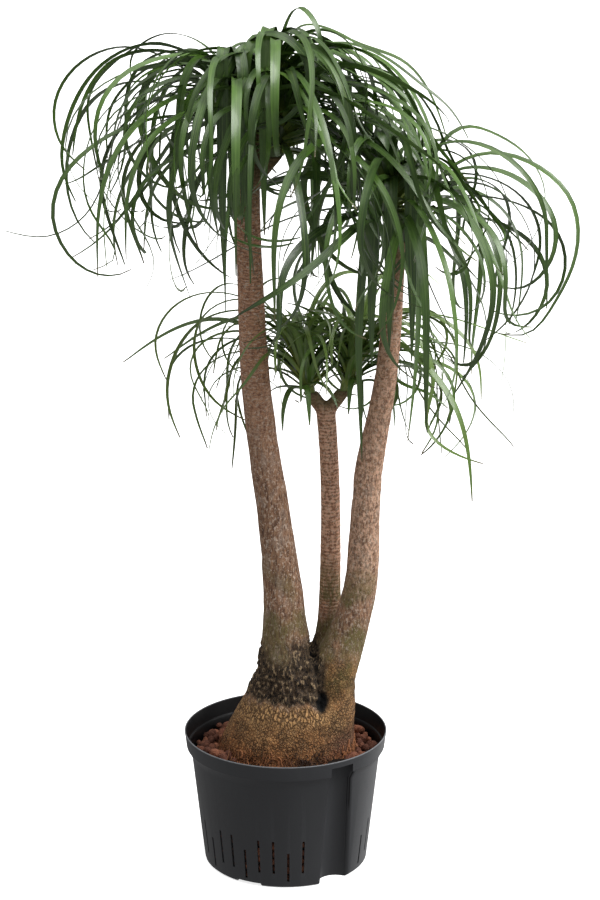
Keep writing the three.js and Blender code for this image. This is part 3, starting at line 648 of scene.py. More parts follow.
# Where each kind of bark starts or ends: the two heights, or for RIGHT places along x, of a soft step.
NET_TOP = (0.232, 0.250)
RIGHT_NET_TOP = (0.285, 0.325)
RIGHT_FROM = (0.045, 0.060)
RIGHT_FOOT_FROM = (0.045, 0.075)
RIGHT_FOOT_TOP = (0.185, 0.215)
RIM_FROM = (0.208, 0.222)
CORK_FOOT_TOP = (0.168, 0.212)
CHAR_FROM = (0.238, 0.250)
CHAR_TOP = (0.285, 0.350)
CHAR_RIGHT = (0.047, 0.060)
MOSS_FROM = (0.230, 0.290)
MOSS_TOP = (0.370, 0.470)
RINGS_FROM = (0.500, 0.800)
RINGS_LOWEST = (0.330, 0.370)
PALE_FROM = (0.340, 0.460)
PALE_TOP = (0.680, 0.800)
HOLLOW = (0.0515, 0.245)  # the hollow between the stems' feet, painted dark as shade: where it is, as x and z, and its size
HOLLOW_SIZE = (0.008, 0.014)
CLEFT_TOP = (0.0385, 0.305)  # the cleft that comes down to it from between them
CLEFT_FOOT = (0.0480, 0.258)
CLEFT_WIDTH = 0.0050
CLEFT_END = 0.006  # how softly it runs out below its foot
CLEFT_HIGHEST = 0.325
CLEFT_BACK = 0.012
# the heights over which the cleft is painted black as shade
CLEFT_SHADE_FROM = (0.256, 0.276)

SWELL = 0.0011  # how far the bark's relief stands up or goes down
FISSURE_DEPTH = 0.0012
LEDGE = 0.0003
FLAKE = 0.0042
CORK_RELIEF = 0.0009
HOLLOW_DEPTH = 0.011
CLEFT_DEPTH = 0.005

BARK = (0.410, 0.228, 0.134)
BARK_DARK = (0.105, 0.056, 0.038)
BARK_GREY = (0.440, 0.330, 0.260)
BARK_SPECK = (0.760, 0.600, 0.470)
BARK_PALE = (0.940, 0.600, 0.420)
YOUNG_BARK = (0.690, 0.370, 0.220)
YOUNG_DARK = (0.215, 0.100, 0.062)
OLD_LEAF_BASE = (0.130, 0.115, 0.050)
CORK = (0.490, 0.230, 0.086)
CORK_LIGHT = (0.600, 0.350, 0.150)
CORK_CRACK = (0.040, 0.021, 0.010)
CORK_PALE = (0.850, 0.560, 0.300)
CORK_FOOT = (0.480, 0.190, 0.068)
CORK_SHADE = (0.150, 0.062, 0.050)
# the charred colours, which also paint the hollow and the cleft dark as shade
CHAR = (0.009, 0.008, 0.007)
CHAR_BROWN = (0.080, 0.054, 0.033)
CHAR_FLAKE = (0.420, 0.300, 0.170)
# painted shade, near black, in the hollow and the cleft
HOLLOW_SHADE = (0.004, 0.004, 0.004)
MOSS = (0.125, 0.128, 0.036)
ROOT_FIBRE = (0.430, 0.180, 0.080)
ROOT_DARK = (0.050, 0.028, 0.020)


def spring_curve(points):
    """The curve that a springy strap takes through a few points: a natural cubic spline on its chords."""
    points = np.asarray(points, float)
    spans = np.linalg.norm(np.diff(points, axis=0), axis=1)
    last = len(points) - 1
    bends = np.zeros_like(points)
    upper = np.zeros(last + 1)
    for i in range(1, last):
        pivot = 2 * (spans[i - 1] + spans[i]) - spans[i - 1] * upper[i - 1]
        upper[i] = spans[i] / pivot
        change = (points[i + 1] - points[i]) / spans[i] - (points[i] - points[i - 1]) / spans[i - 1]
        bends[i] = (6 * change - spans[i - 1] * bends[i - 1]) / pivot
    for i in range(last - 2, 0, -1):
        bends[i] -= upper[i] * bends[i + 1]

    def place(share):
        i = min(last - 1, int(share * last))
        h = spans[i]
        b = (share * last - i) * h
        a = h - b
        bent = bends[i] * (a ** 3 / h - a * h) / 6 + bends[i + 1] * (b ** 3 / h - b * h) / 6
        return bent + points[i] * a / h + points[i + 1] * b / h

    return place


def smooth_sections(sections):
    """Sections at close steps along a smooth curve through the given ones, each with both radii."""
    full = [(*section, section[3])[:5] for section in sections]
    curve = spring_curve(full)
    count = round((full[-1][2] - full[0][2]) / SECTION_STEP)
    return [tuple(curve(i / count)) for i in range(count + 1)]


def smooth_step(values, low, high):
    share = np.clip((values - low) / (high - low), 0, 1)
    return share * share * (3 - 2 * share)


def noise_at(places, scale, offset=0.0):
    """Cloudy noise from -1 to 1 at each place, with its own scale along each axis."""
    scaled = places * np.asarray(scale) + offset
    return np.array([noise.noise(Vector(place)) for place in scaled])


def root_fibres():
    """The mat of fine roots on the caudex's foot, which creep down it and out between the pebbles."""
    draw = np.random.default_rng(7)
    rows = np.array(CAUDEX)
    corners, faces, tones = [], [], []
    for number in range(FIBRES):
        turn = draw.uniform(-math.pi, math.pi)
        sweep = draw.normal(0, FIBRE_SWEEP)
        wave, phase = draw.uniform(2, 5), draw.uniform(0, 6)
        high = FIBRE_TOP - FIBRE_START * draw.uniform() ** 0.7
        reach = FIBRE_REACH * draw.uniform() ** 2
        thick = draw.uniform(*FIBRE_THICKNESS) * (2 if number % 12 == 0 else 1)
        dark = math.exp(-((turn - DARK_ROOTS[0]) / DARK_ROOTS[1]) ** 2)
        tone = draw.uniform(0.35, 1) * (1 - 0.7 * dark)
        faces += tube_faces(len(corners), FIBRE_STEPS + 1, 4)
        for step in range(FIBRE_STEPS + 1):
            share = step / FIBRE_STEPS
            z = lerp(high, FIBRE_FOOT, share) + FIBRE_WAVE[0] * math.sin(wave * 3 * share + phase)
            at = turn + sweep * share + FIBRE_WAVE[1] * math.sin(wave * 2 * share + phase)
            middle_x, middle_y, across, depth = (np.interp(z, rows[:, 2], rows[:, k]) for k in (0, 1, 3, 4))
            out = FIBRE_GAP + reach * share ** 2
            outward = Vector((math.cos(at), math.sin(at), 0))
            aside = Vector((-math.sin(at), math.cos(at), 0.5)).normalized()
            outer_x = middle_x + (across + out) * math.cos(at)
            outer_y = middle_y + (depth + out) * math.sin(at)
            centre = Vector((outer_x, outer_y, z))
            radius = thick * (1 - 0.6 * share)
            corners += [centre + radius * corner for corner in (outward, -aside, -outward, aside)]
            tones += [tone] * 4
    piece = from_faces("root_fibres", corners, faces)
    piece.data.shade_smooth()
    set_attribute(piece.data, "fibre", tones)
    turn_outwards(piece)
    return piece


wood = [grow("wood", smooth_sections(stem), TRUNK_STEPS) for stem in (CAUDEX, *STEMS)]
for start, foot, *tuft in HEADS.values():
    neck = [(*start, NECK_FOOT_RADIUS), (*foot, NECK_RADIUS)]
    wood.append(grow("neck", smooth_sections(neck), NECK_STEPS))
trunk = joined("bark_trunk", wood)
modify(trunk, "REMESH", mode="VOXEL", voxel_size=TRUNK_GRID)
modify(trunk, "SMOOTH", factor=0.5, iterations=10)

place = np.empty(3 * len(trunk.data.vertices))
trunk.data.vertices.foreach_get("co", place)
place = place.reshape(-1, 3)
normal = np.empty(place.size)
trunk.data.vertex_normals.foreach_get("vector", normal)
normal = normal.reshape(-1, 3)
x, y, z = place.T

# How far each place is from each stem's middle, in radii, tells which stem it is on.
nearness = []
for stem in STEMS:
    rows = np.array(stem)
    across = x - np.interp(z, rows[:, 2], rows[:, 0])
    depth = y - np.interp(z, rows[:, 2], rows[:, 1])
    nearness.append(np.hypot(across, depth) / np.interp(z, rows[:, 2], rows[:, 3]))
nearest = np.argmin(nearness, axis=0)
on_thin = nearest == STEMS.index(CENTRE_STEM)
over_top = z - np.array([stem[-1][2] for stem in STEMS])[nearest]

wander = noise_at(place, (28, 28, 28))
ragged = noise_at(place, (150, 150, 30), 3.1)
on_right = smooth_step(x + 0.008 * wander, *RIGHT_FROM)
net_right = on_right * (1 - smooth_step(z + 0.02 * wander, *RIGHT_NET_TOP))
net = np.maximum(1 - smooth_step(z + 0.012 * ragged, *NET_TOP), net_right)
char_and_shade = smooth_step(z + 0.008 * ragged, *CHAR_FROM) * (1 - smooth_step(z + 0.03 * wander, *CHAR_TOP))
char_and_shade *= 1 - 0.92 * smooth_step(x + 0.008 * wander, *CHAR_RIGHT)
from_hollow = ((x - HOLLOW[0]) / HOLLOW_SIZE[0]) ** 2 + ((z - HOLLOW[1]) / HOLLOW_SIZE[1]) ** 2
hollow = np.exp(-from_hollow) * (y < 0)
down = np.clip((CLEFT_TOP[1] - z) / (CLEFT_TOP[1] - CLEFT_FOOT[1]), 0, 1)
aside = (x - lerp(CLEFT_TOP[0], CLEFT_FOOT[0], down)) / CLEFT_WIDTH
past_end = np.maximum(0, CLEFT_FOOT[1] - z) / CLEFT_END
cleft = np.exp(-aside ** 2 - past_end ** 2) * (z < CLEFT_HIGHEST) * (y < CLEFT_BACK) * (0.7 + 0.5 * ragged)
# The hollow and the cleft join the char mask, so the charred colours paint them dark as shade.
char_and_shade = np.clip(char_and_shade + 1.3 * hollow + 1.2 * cleft, 0, 1)
moss = smooth_step(wander + 0.35 * noise_at(place, (90, 90, 60)), -0.38, 0.25)
moss *= smooth_step(z, *MOSS_FROM) * (1 - smooth_step(z, *MOSS_TOP)) * (0.9 + 0.1 * on_right)
rings = np.where(on_thin, 1.0, smooth_step(z, *RINGS_FROM)) * smooth_step(z, *RINGS_LOWEST)
pale = (nearest != STEMS.index(LEFT_STEM)) * smooth_step(z + 0.02 * wander, *PALE_FROM)

fissures = np.abs(noise_at(place, (95, 95, 13)))
ledges = noise_at(place, (14, 14, 150))
flakes = noise_at(place, (190, 190, 90), 8.8) + 0.8 * noise_at(place, (330, 330, 190), 4.4)
flakes = smooth_step(flakes, -0.35, 0.45)
swell = noise_at(place, (34, 34, 26), 5.5)
lift = SWELL * swell * (1 - rings)
lift -= FISSURE_DEPTH * (1 - smooth_step(fissures, 0.0, 0.16)) * (1 - rings) * (1 - net)
lift += LEDGE * ledges * rings
lift += FLAKE * (flakes - 0.5) * char_and_shade
lift -= HOLLOW_DEPTH * hollow + CLEFT_DEPTH * cleft
lift += CORK_RELIEF * noise_at(place, (170, 170, 120), 1.7) * net
trunk.data.vertices.foreach_set("co", (place + normal * lift[:, None]).ravel())

masks = {
    "net": net,
    "char_and_shade": char_and_shade,
    "moss": moss,
    "rings": rings,
    "flakes": flakes,
    "rim": net * smooth_step(z, *RIM_FROM) * (1 - net_right),
    "right_foot": smooth_step(x, *RIGHT_FOOT_FROM) * (1 - smooth_step(z, *RIGHT_FOOT_TOP)),
    "pale": pale * (1 - 0.4 * smooth_step(z, *PALE_TOP)),
    # painted shade in the hollow and the cleft
    "shade_in_hollows": np.clip(1.4 * hollow + 0.8 * cleft * smooth_step(z, *CLEFT_SHADE_FROM), 0, 1),
    "slender": on_thin,
    "neck": np.where(on_thin, smooth_step(over_top, -0.014, 0.008), smooth_step(over_top, -0.09, 0)),
    "fibre": np.zeros(len(z)),
}
for name, values in masks.items():
    set_attribute(trunk.data, name, values)
select_only(trunk)
bpy.ops.object.shade_smooth()

trunk = joined("bark_trunk", [trunk, root_fibres()])

bark, on_bark = new_finish("bark", Roughness=0.88, Specular_IOR_Level=0.3)


def cracked(coordinates, scale, low, high):
    """1 along the cracks between cells of bark, and 0 in their middles."""
    look = {"Vector": coordinates, "Scale": scale}
    return 1 - coordinates.node("TexVoronoi", {"feature": "DISTANCE_TO_EDGE"}, look).rise(low, high)


fields = [on_bark.attribute(name) for name in masks]
net, char_and_shade, moss, rings, flakes, rim, right_foot, pale, shade_in_hollows, slender, neck, fibre = fields
height = on_bark.axis("Z")
streaks = on_bark.stretched(1, 1, 0.2).grain(400, 5, 0.7)
blotches = on_bark.grain(38, 4, 0.6)
tints = on_bark.stretched(1, 1, 0.5).grain(75, 3, 0.6)
fine = on_bark.grain(900, 4, 0.65)
scars = on_bark.stretched(0.2, 0.2, 1).grain(760, 4, 0.65)
warp = on_bark.node("TexNoise", inputs={"Vector": on_bark, "Scale": 170, "Detail": 3}, output=1)
warped = on_bark.node("Mix", {"data_type": "VECTOR"}, {0: 0.0060, 4: on_bark, 5: warp}, output=1)
wide = cracked(warped.stretched(1, 1, 0.8), 265, 0.05, 0.26)
narrow = cracked(warped, 520, 0.03, 0.34)
tall = cracked(warped.stretched(1, 1, 0.34), 250, 0.04, 0.24)
grit = on_bark.grain(620, 4, 0.8)
gaping = on_bark.grain(60, 3, 0.5).rise(0.3, 0.62)
cracks = wide.math("MAXIMUM", wide * (0.55 + 0.45 * gaping), narrow * 0.5 * gaping)
cracks = cracks * (1 - rim) + tall * rim * 0.9
speck = on_bark.stretched(1, 1, 0.6).grain(340, 3, 0.6).rise(0.545, 0.62)
dots = on_bark.stretched(0.8, 0.8, 1).grain(520, 2, 0.5).rise(0.58, 0.66)
dashes = on_bark.stretched(0.45, 0.45, 1).grain(400, 3, 0.6).rise(0.555, 0.62)
patina = on_bark.stretched(1, 1, 0.7).grain(240, 4, 0.75)

old = streaks.rise(0.34, 0.62).blend(BARK_DARK, BARK)
old = (tints.rise(0.48, 0.72) * 0.6).blend(old, BARK_GREY)
old = (speck * 0.65 + dots * 0.35).blend(old, BARK_SPECK)
old = ((1 - patina.rise(0.34, 0.46)) * 0.5).blend(old, BARK_DARK)
young = scars.rise(0.34, 0.60).blend(YOUNG_DARK, YOUNG_BARK)
young = (scars.rise(0.60, 0.70) * 0.5 + dots * 0.35).blend(young, BARK_SPECK)
bands = {"wave_type": "BANDS", "bands_direction": "Z"}
leaf_marks = {"Vector": on_bark, "Scale": 62, "Distortion": 3.5, "Detail": 3, "Detail Scale": 3}
leaf_marks = on_bark.node("TexWave", bands, leaf_marks, output=1)
marked = 0.35 + 0.65 * slender
young = (leaf_marks.rise(0.78, 0.96) * tints.rise(0.38, 0.56) * marked).blend(young, BARK_PALE)
young = ((1 - leaf_marks.rise(0.0, 0.22)) * marked * 0.9).blend(young, YOUNG_DARK)
young = (dashes * 0.85).blend(young, BARK_SPECK)
young = ((1 - patina.rise(0.38, 0.50)) * 0.7).blend(young, YOUNG_DARK)
stem_colour = rings.blend(old, young)
stem_colour = (pale * (0.06 + 0.62 * patina.rise(0.46, 0.60))).blend(stem_colour, BARK_PALE)
stem_colour = (neck * 0.75).blend(stem_colour, OLD_LEAF_BASE)
cork = (blotches.rise(0.35, 0.65) * 0.6 + fine.rise(0.4, 0.7) * 0.5).blend(CORK, CORK_LIGHT)
cork = (rim * 0.45).blend(cork, CORK_LIGHT)
cork = ((1 - height.rise(*CORK_FOOT_TOP)) * 0.8).blend(cork, CORK_FOOT)
cork = (right_foot * 0.75).blend(cork, CORK_SHADE)
cork = (cracks * 0.93).blend(cork, CORK_CRACK)
cork = (grit.rise(0.56, 0.66) * 0.65).blend(cork, CORK_PALE)
cork = ((1 - grit.rise(0.36, 0.46)) * 0.7).blend(cork, CORK_CRACK)
colour = net.blend(stem_colour, cork)
mossy = moss * (fine.rise(0.34, 0.6) * 0.45 + streaks.rise(0.40, 0.58) * 0.50) * (1 - cracks * net * 0.5)
colour = mossy.blend(colour, MOSS)
flecks = on_bark.stretched(1, 1, 0.4).grain(310, 5, 0.75)
char_and_shade_colour = flecks.rise(0.42, 0.54).blend(CHAR, CHAR_BROWN)
char_and_shade_colour = (flecks.rise(0.52, 0.60) * flakes.rise(0.2, 0.7)).blend(char_and_shade_colour, CHAR_FLAKE)
# The charred colours also paint the hollow and the cleft dark, as shade.
colour = (char_and_shade.rise(0.05, 0.95) * (0.45 + fine.rise(0.3, 0.6))).blend(colour, char_and_shade_colour)
# painted shade: the hollow and the cleft turn near black
colour = shade_in_hollows.rise(0.25, 0.85).blend(colour, HOLLOW_SHADE)
roots = fibre.rise(0.15, 0.9).blend(ROOT_DARK, ROOT_FIBRE)
colour = fibre.rise(0.02, 0.08).blend(colour, roots)
roughs = streaks * (1 - rings) * (1 - net) + scars * rings * 0.8 + (1 - cracks) * net * 1.2 + fine * 0.45
wire(bark, Base_Color=colour, Normal=roughs.relief(1.0, 0.0018))
dress(trunk, bark, "trunk")


# ----------------------------------------------------------------------------------------------------
# The leaves. Every head is a tuft of tough green straps, up to 19 mm wide and half a metre long, clasping
# its tip. They are channelled and yellow-green at the root, arch over, hang down and curl at their thin
# tips. Young ones stand up in the middle, short and cupped in the small heads, and old ones lie out.

LEAF_WIDTH = 0.0142
LEAF_THICKNESS = 0.0011
TIP_WIDTH = 0.0017
KEEL_FOLD = (8, 26)  # degrees that each half is lifted at the tip, and how many more at the root
LEAF_STEPS = 26
PLACED_STEPS = 30
PLACED_TURN = 4  # how many degrees further a leaf of the table is turned at each attempt, and one by rule
RULE_TURN = 13
ROOT_REACH = 0.007
SMALL_HEAD = 0.35  # leaf length below which a head counts as small
SMALL_TOP = 0.8  # and the height below which only such heads are
SMALL_WIDTH = 0.52  # the width of their leaves and of their core, against the large heads'
SMALL_CORE = 0.62
YOUNG_EVERY = 3  # how many of their leaves there are to a young one, which is short, broad and cupped
YOUNG_WIDTH = 0.8
YOUNG_LENGTH = 0.42
YOUNG_RISE = (94, 62)
YOUNG_FALL = 30
YOUNG_CURL = 20

# How a leaf by rule grows, in degrees or as shares of its length, from the least to the most.
LEAF_RISE = (84, 6)  # how steeply it rises at its root, from the youngest to the oldest
SMALL_RISE = 42  # and the oldest of a small head, whose leaves make a cup
RISE_SPREAD = 20
LEAF_FALL = (60, 100)  # how steeply it hangs in the end
LEAF_ONSET = (0.02, 0.10)  # where it starts to bend over, and along what share of it that goes on
LEAF_BREADTH = (0.50, 0.95)
LEAF_CURL = (-75, 130)  # how far it curls in past its tail's start
LEAF_SWING = 70  # how far it turns aside along it all, and past its tail's start
LEAF_HOOK = 240
TAIL_START = 0.45
LENGTH_SPREAD = (0.78, 1.22)
YOUNGEST_LENGTH = 0.62  # of the youngest one, which grows to 1 over the ranks of the young
YOUNG_RANKS = 0.3
SHORTER = 0.035  # how much shorter it is at each attempt
NARROWEST = 0.40
LEAF_TWIST = 200

# Where leaves may be.
STEM_CLEARANCE = 0.004
CROWN_LOW = (-0.318, -0.240, 0.44)
CROWN_HIGH = (0.388, 0.250, 1.172)
CROWN_TOP = [  # the crown's upper outline in the first view, as x and z in the plane of the pot's middle
    (-0.360, 0.900), (-0.320, 1.030), (-0.260, 1.118), (-0.150, 1.150), (-0.085, 1.132), (0.010, 1.182),
    (0.130, 1.130), (0.250, 1.010), (0.320, 0.972), (0.385, 0.880),
]
CROWN_FOOT = [  # how low the leaves by rule reach, in the same way
    (-0.360, 0.870), (-0.260, 0.830), (-0.190, 0.800), (-0.100, 0.780), (-0.060, 0.730), (0.050, 0.730),
    (0.100, 0.680), (0.200, 0.520), (0.270, 0.560), (0.330, 0.720), (0.385, 0.800),
]
CENTRE_FOOT = [  # and for the small heads
    (-0.250, 0.600), (-0.120, 0.530), (-0.040, 0.560), (0.000, 0.650), (0.110, 0.650), (0.140, 0.560),
    (0.190, 0.520), (0.250, 0.520),
]
SIGHT_SLOPE = 0.31  # how much higher a place shows for each metre that it is further back
BARE_STEM = 0.055  # how far below a head no more than a stray leaf hangs in front of a stem
STEM_EDGE = 0.003  # how far beside a stem a leaf still counts as in front of it
MOST_HIDDEN = (4, 2)  # how many places of a leaf may do that, for large and small heads
TRIES = 12

CORE_ALONG = 0.10  # how far along a leaf its bases look like
CORE = [(0, 0.011), (0.2, 0.0135), (0.7, 0.012), (1.0, 0.009), (1.25, 0.003)]

LEAF_DEEP = (0.018, 0.050, 0.007)
LEAF_GREEN = (0.082, 0.180, 0.020)
LEAF_LIGHT = (0.250, 0.370, 0.095)
LEAF_ROOT = (0.270, 0.340, 0.070)
LEAF_FRESH = (0.300, 0.430, 0.100)
LEAF_TIP = (0.150, 0.120, 0.050)

# The leaves that give the crown its outline in the first view, for each head: azimuth, width, twist in
# degrees, and reach and height from the head's growing point, from its crest on down to the tip.
PLACED = {
    "left_head_1": [
        (168, .007, 60, [(.065, .02), (.14, .045), (.205, .02), (.24, -.04), (.23, -.09), (.2, -.12)]),
        (185, .011, 70, [(.045, .035), (.1, .055), (.16, .035), (.215, -.05), (.22, -.11), (.205, -.15)]),
        (196, .011, 80, [(.055, .035), (.105, .05), (.155, .04), (.2, -.02), (.212, -.08)]),
        (178, .009, 40, [(.055, .04), (.105, .055), (.15, .03), (.185, -.015), (.185, -.065), (.175, -.125)]),
        (150, .007, 30, [(.02, .03), (.075, .06), (.125, .05), (.155, .02), (.155, -.005)]),
        (203, .008, 60, [(.065, .025), (.125, .01), (.185, -.035), (.205, -.105), (.19, -.16), (.165, -.215),
            (.195, -.228)]),
        (158, .007, 40, [(.085, .025), (.145, -.005), (.175, -.045), (.18, -.11)]),
        (216, .015, 50, [(.08, .015), (.135, -.015), (.175, -.075), (.165, -.135), (.125, -.23),
            (.145, -.262)]),
        (236, .014, 20, [(.05, .045), (.085, .04), (.112, -.01), (.118, -.065), (.14, -.135), (.115, -.225),
            (.095, -.265)]),
        (191, .007, 50, [(.065, .015), (.11, .005), (.16, -.085), (.195, -.165), (.245, -.19), (.3, -.18)]),
        (262, .016, 0, [(.035, .05), (.06, .058), (.072, .005), (.078, -.08), (.076, -.17), (.066, -.25)]),
        (282, .015, -10, [(.04, .055), (.066, .045), (.078, -.02), (.076, -.095), (.066, -.17)]),
        (272, .016, 0, [(.03, .012), (.05, .008), (.062, -.04), (.062, -.1), (.05, -.165)]),
        (250, .015, 10, [(.035, .03), (.06, .025), (.078, -.04), (.075, -.12), (.05, -.19)]),
        (295, .016, 0, [(.03, .005), (.05, -.01), (.058, -.07), (.054, -.13), (.04, -.2)]),
    ],
    "left_head_2": [
        (228, .012, 0, [(.035, .02), (.06, .01), (.075, -.05), (.07, -.12), (.055, -.18)]),
        (315, .008, 30, [(.025, .06), (.045, .082), (.075, .066), (.085, .01), (.075, -.045)]),
        (352, .007, 30, [(.04, .055), (.075, .05), (.105, .035), (.13, .015), (.152, -.02)]),
        (15, .008, 60, [(.06, .045), (.115, .025), (.175, 0), (.225, -.07), (.24, -.115)]),
        (0, .007, 50, [(.075, .03), (.14, .015), (.195, -.025), (.23, -.055), (.255, -.095)]),
        (336, .014, 20, [(.06, .025), (.11, .015), (.16, -.015), (.185, -.06), (.2, -.11)]),
        (262, .017, 0, [(.035, .056), (.062, .052), (.078, 0), (.086, -.065), (.09, -.13), (.086, -.205)]),
        (245, .015, 10, [(.035, .045), (.066, .04), (.085, -.03), (.088, -.105), (.08, -.195),
            (.062, -.265)]),
    ],
    "left_head_3": [
        (335, .014, 10, [(.03, .05), (.06, .052), (.1, .035), (.14, 0), (.17, -.06)]),
        (300, .013, 0, [(.035, .042), (.062, .032), (.08, -.015), (.086, -.07), (.08, -.14), (.072, -.2)]),
    ],
    "right_head_1": [
        (212, .016, 20, [(.045, .03), (.08, .022), (.11, -.03), (.116, -.07), (.11, -.115)]),
        (178, .014, 10, [(.025, .045), (.06, .084), (.092, .102), (.125, .092), (.145, .05)]),
        (252, .018, 0, [(.035, .01), (.058, -.005), (.076, -.075), (.084, -.155), (.08, -.23)]),
        (268, .018, 0, [(.035, .012), (.058, -.002), (.072, -.075), (.078, -.155), (.07, -.21)]),
        (290, .018, 0, [(.03, .025), (.052, .028), (.068, -.04), (.076, -.13), (.078, -.225)]),
        (305, .016, 0, [(.045, 0), (.064, -.055), (.076, -.145), (.082, -.24), (.084, -.3)]),
        (316, .014, 0, [(.03, .03), (.045, .018), (.051, -.05), (.05, -.15), (.046, -.25), (.034, -.35)]),
        (240, .013, 0, [(.04, -.015), (.068, -.075), (.084, -.185), (.08, -.28), (.074, -.365)]),
        (300, .010, 40, [(.04, .012), (.095, -.004), (.155, -.005), (.215, -.035), (.245, -.09), (.23, -.155),
            (.16, -.25)]),
    ],
    "right_head_2": [
        (352, .010, 60, [(.035, .04), (.095, .072), (.155, .06), (.205, .015), (.215, -.05), (.185, -.13),
            (.15, -.17), (.112, -.17)]),
        (332, .009, 60, [(.045, .045), (.095, .06), (.16, .045), (.2, 0), (.195, -.055), (.15, -.095),
            (.105, -.09)]),
        (18, .009, 50, [(.025, .06), (.065, .1), (.11, .09), (.16, .055), (.185, .005), (.17, -.055),
            (.125, -.1)]),
        (318, .009, 40, [(.03, .03), (.065, .025), (.105, .005), (.14, -.045), (.145, -.1), (.12, -.18),
            (.085, -.22)]),
        (304, .008, 30, [(.035, .005), (.07, -.02), (.108, -.075), (.116, -.145), (.112, -.19)]),
    ],
    "centre_head_1": [
        (285, .008, 0, [(.016, -.034), (.028, -.032), (.044, -.05), (.05, -.08)]),
        (325, .007, 20, [(.016, -.034), (.03, -.03), (.05, -.04), (.062, -.06)]),
        (240, .008, 0, [(.016, -.038), (.03, -.04), (.044, -.06), (.046, -.09)]),
        (200, .007, 20, [(.018, -.04), (.034, -.043), (.052, -.07), (.056, -.11)]),
        (165, .008, 60, [(.045, .055), (.09, .06), (.14, .04), (.182, -.025), (.186, -.08), (.17, -.125)]),
        (176, .008, 50, [(.045, .07), (.085, .08), (.13, .055), (.142, 0), (.112, -.065), (.075, -.088)]),
        (190, .008, 50, [(.055, .07), (.11, .088), (.172, .065), (.196, .015), (.182, -.035)]),
        (206, .007, 40, [(.045, .05), (.09, .042), (.122, .005), (.126, -.025), (.11, -.062)]),
        (230, .007, 30, [(.06, .02), (.115, -.012), (.155, -.035), (.182, -.075), (.188, -.1)]),
    ],
    "centre_head_2": [
        (255, .008, 0, [(.016, -.034), (.028, -.032), (.044, -.048), (.05, -.075)]),
        (205, .007, 20, [(.016, -.036), (.03, -.03), (.05, -.04), (.062, -.066)]),
        (300, .008, 0, [(.016, -.038), (.03, -.04), (.042, -.06), (.042, -.088)]),
        (340, .007, 20, [(.018, -.04), (.034, -.045), (.05, -.07), (.052, -.105)]),
        (350, .008, 50, [(.035, .05), (.075, .06), (.12, .045), (.16, 0), (.168, -.06)]),
        (340, .007, 40, [(.03, -.015), (.06, -.038), (.095, -.048), (.128, -.068)]),
        (330, .009, 50, [(.045, .02), (.095, 0), (.15, -.06), (.172, -.14), (.176, -.185)]),
        (5, .008, 50, [(.04, .01), (.08, -.008), (.13, -.03), (.16, -.075), (.145, -.125), (.118, -.155)]),
        (320, .008, 40, [(.05, .04), (.09, .025), (.112, -.035), (.105, -.095), (.15, -.125), (.188, -.132)]),
    ],
}


def draw_at(index, step):
    """Evenly spread draws in 0 to 1, the same on every run."""
    return (index * step) % 1


def level(azimuth):
    """The level direction at an azimuth in degrees."""
    turn = math.radians(azimuth)
    return np.array((math.cos(turn), math.sin(turn), 0))


def root_of(head, azimuth, rank):
    """Where a leaf of that rank, from 0 for the youngest to 1 for the oldest, leaves the head's middle."""
    foot, point = np.array(HEADS[head][1:3])
    return lerp(point, foot, 0.9 * rank) + ROOT_REACH * level(azimuth)


def even(path, steps):
    """The same path with its points the same distance apart."""
    run = np.append(0, np.cumsum(np.linalg.norm(np.diff(path, axis=0), axis=1)))
    shares = np.linspace(0, run[-1], steps + 1)
    return np.stack([np.interp(shares, run, path[:, k]) for k in range(3)], axis=1)


def placed_leaf(head, row, attempt):
    """A leaf of the table, turned a little further at each attempt."""
    azimuth, width, twist, outline = row
    azimuth += PLACED_TURN * attempt * (1 if attempt % 2 else -1)
    rank = min(1, max(0, 0.7 - outline[0][1] / 0.110))
    point = np.array(HEADS[head][2])
    points = [root_of(head, azimuth, rank)]
    points += [point + reach * level(azimuth) + (0, 0, rise) for reach, rise in outline]
    curve = spring_curve(points)
    count = 3 * PLACED_STEPS
    path = even(np.array([curve(i / count) for i in range(count + 1)]), PLACED_STEPS)
    return {"path": path, "azimuth": azimuth, "width": width, "twist": twist, "rank": rank}


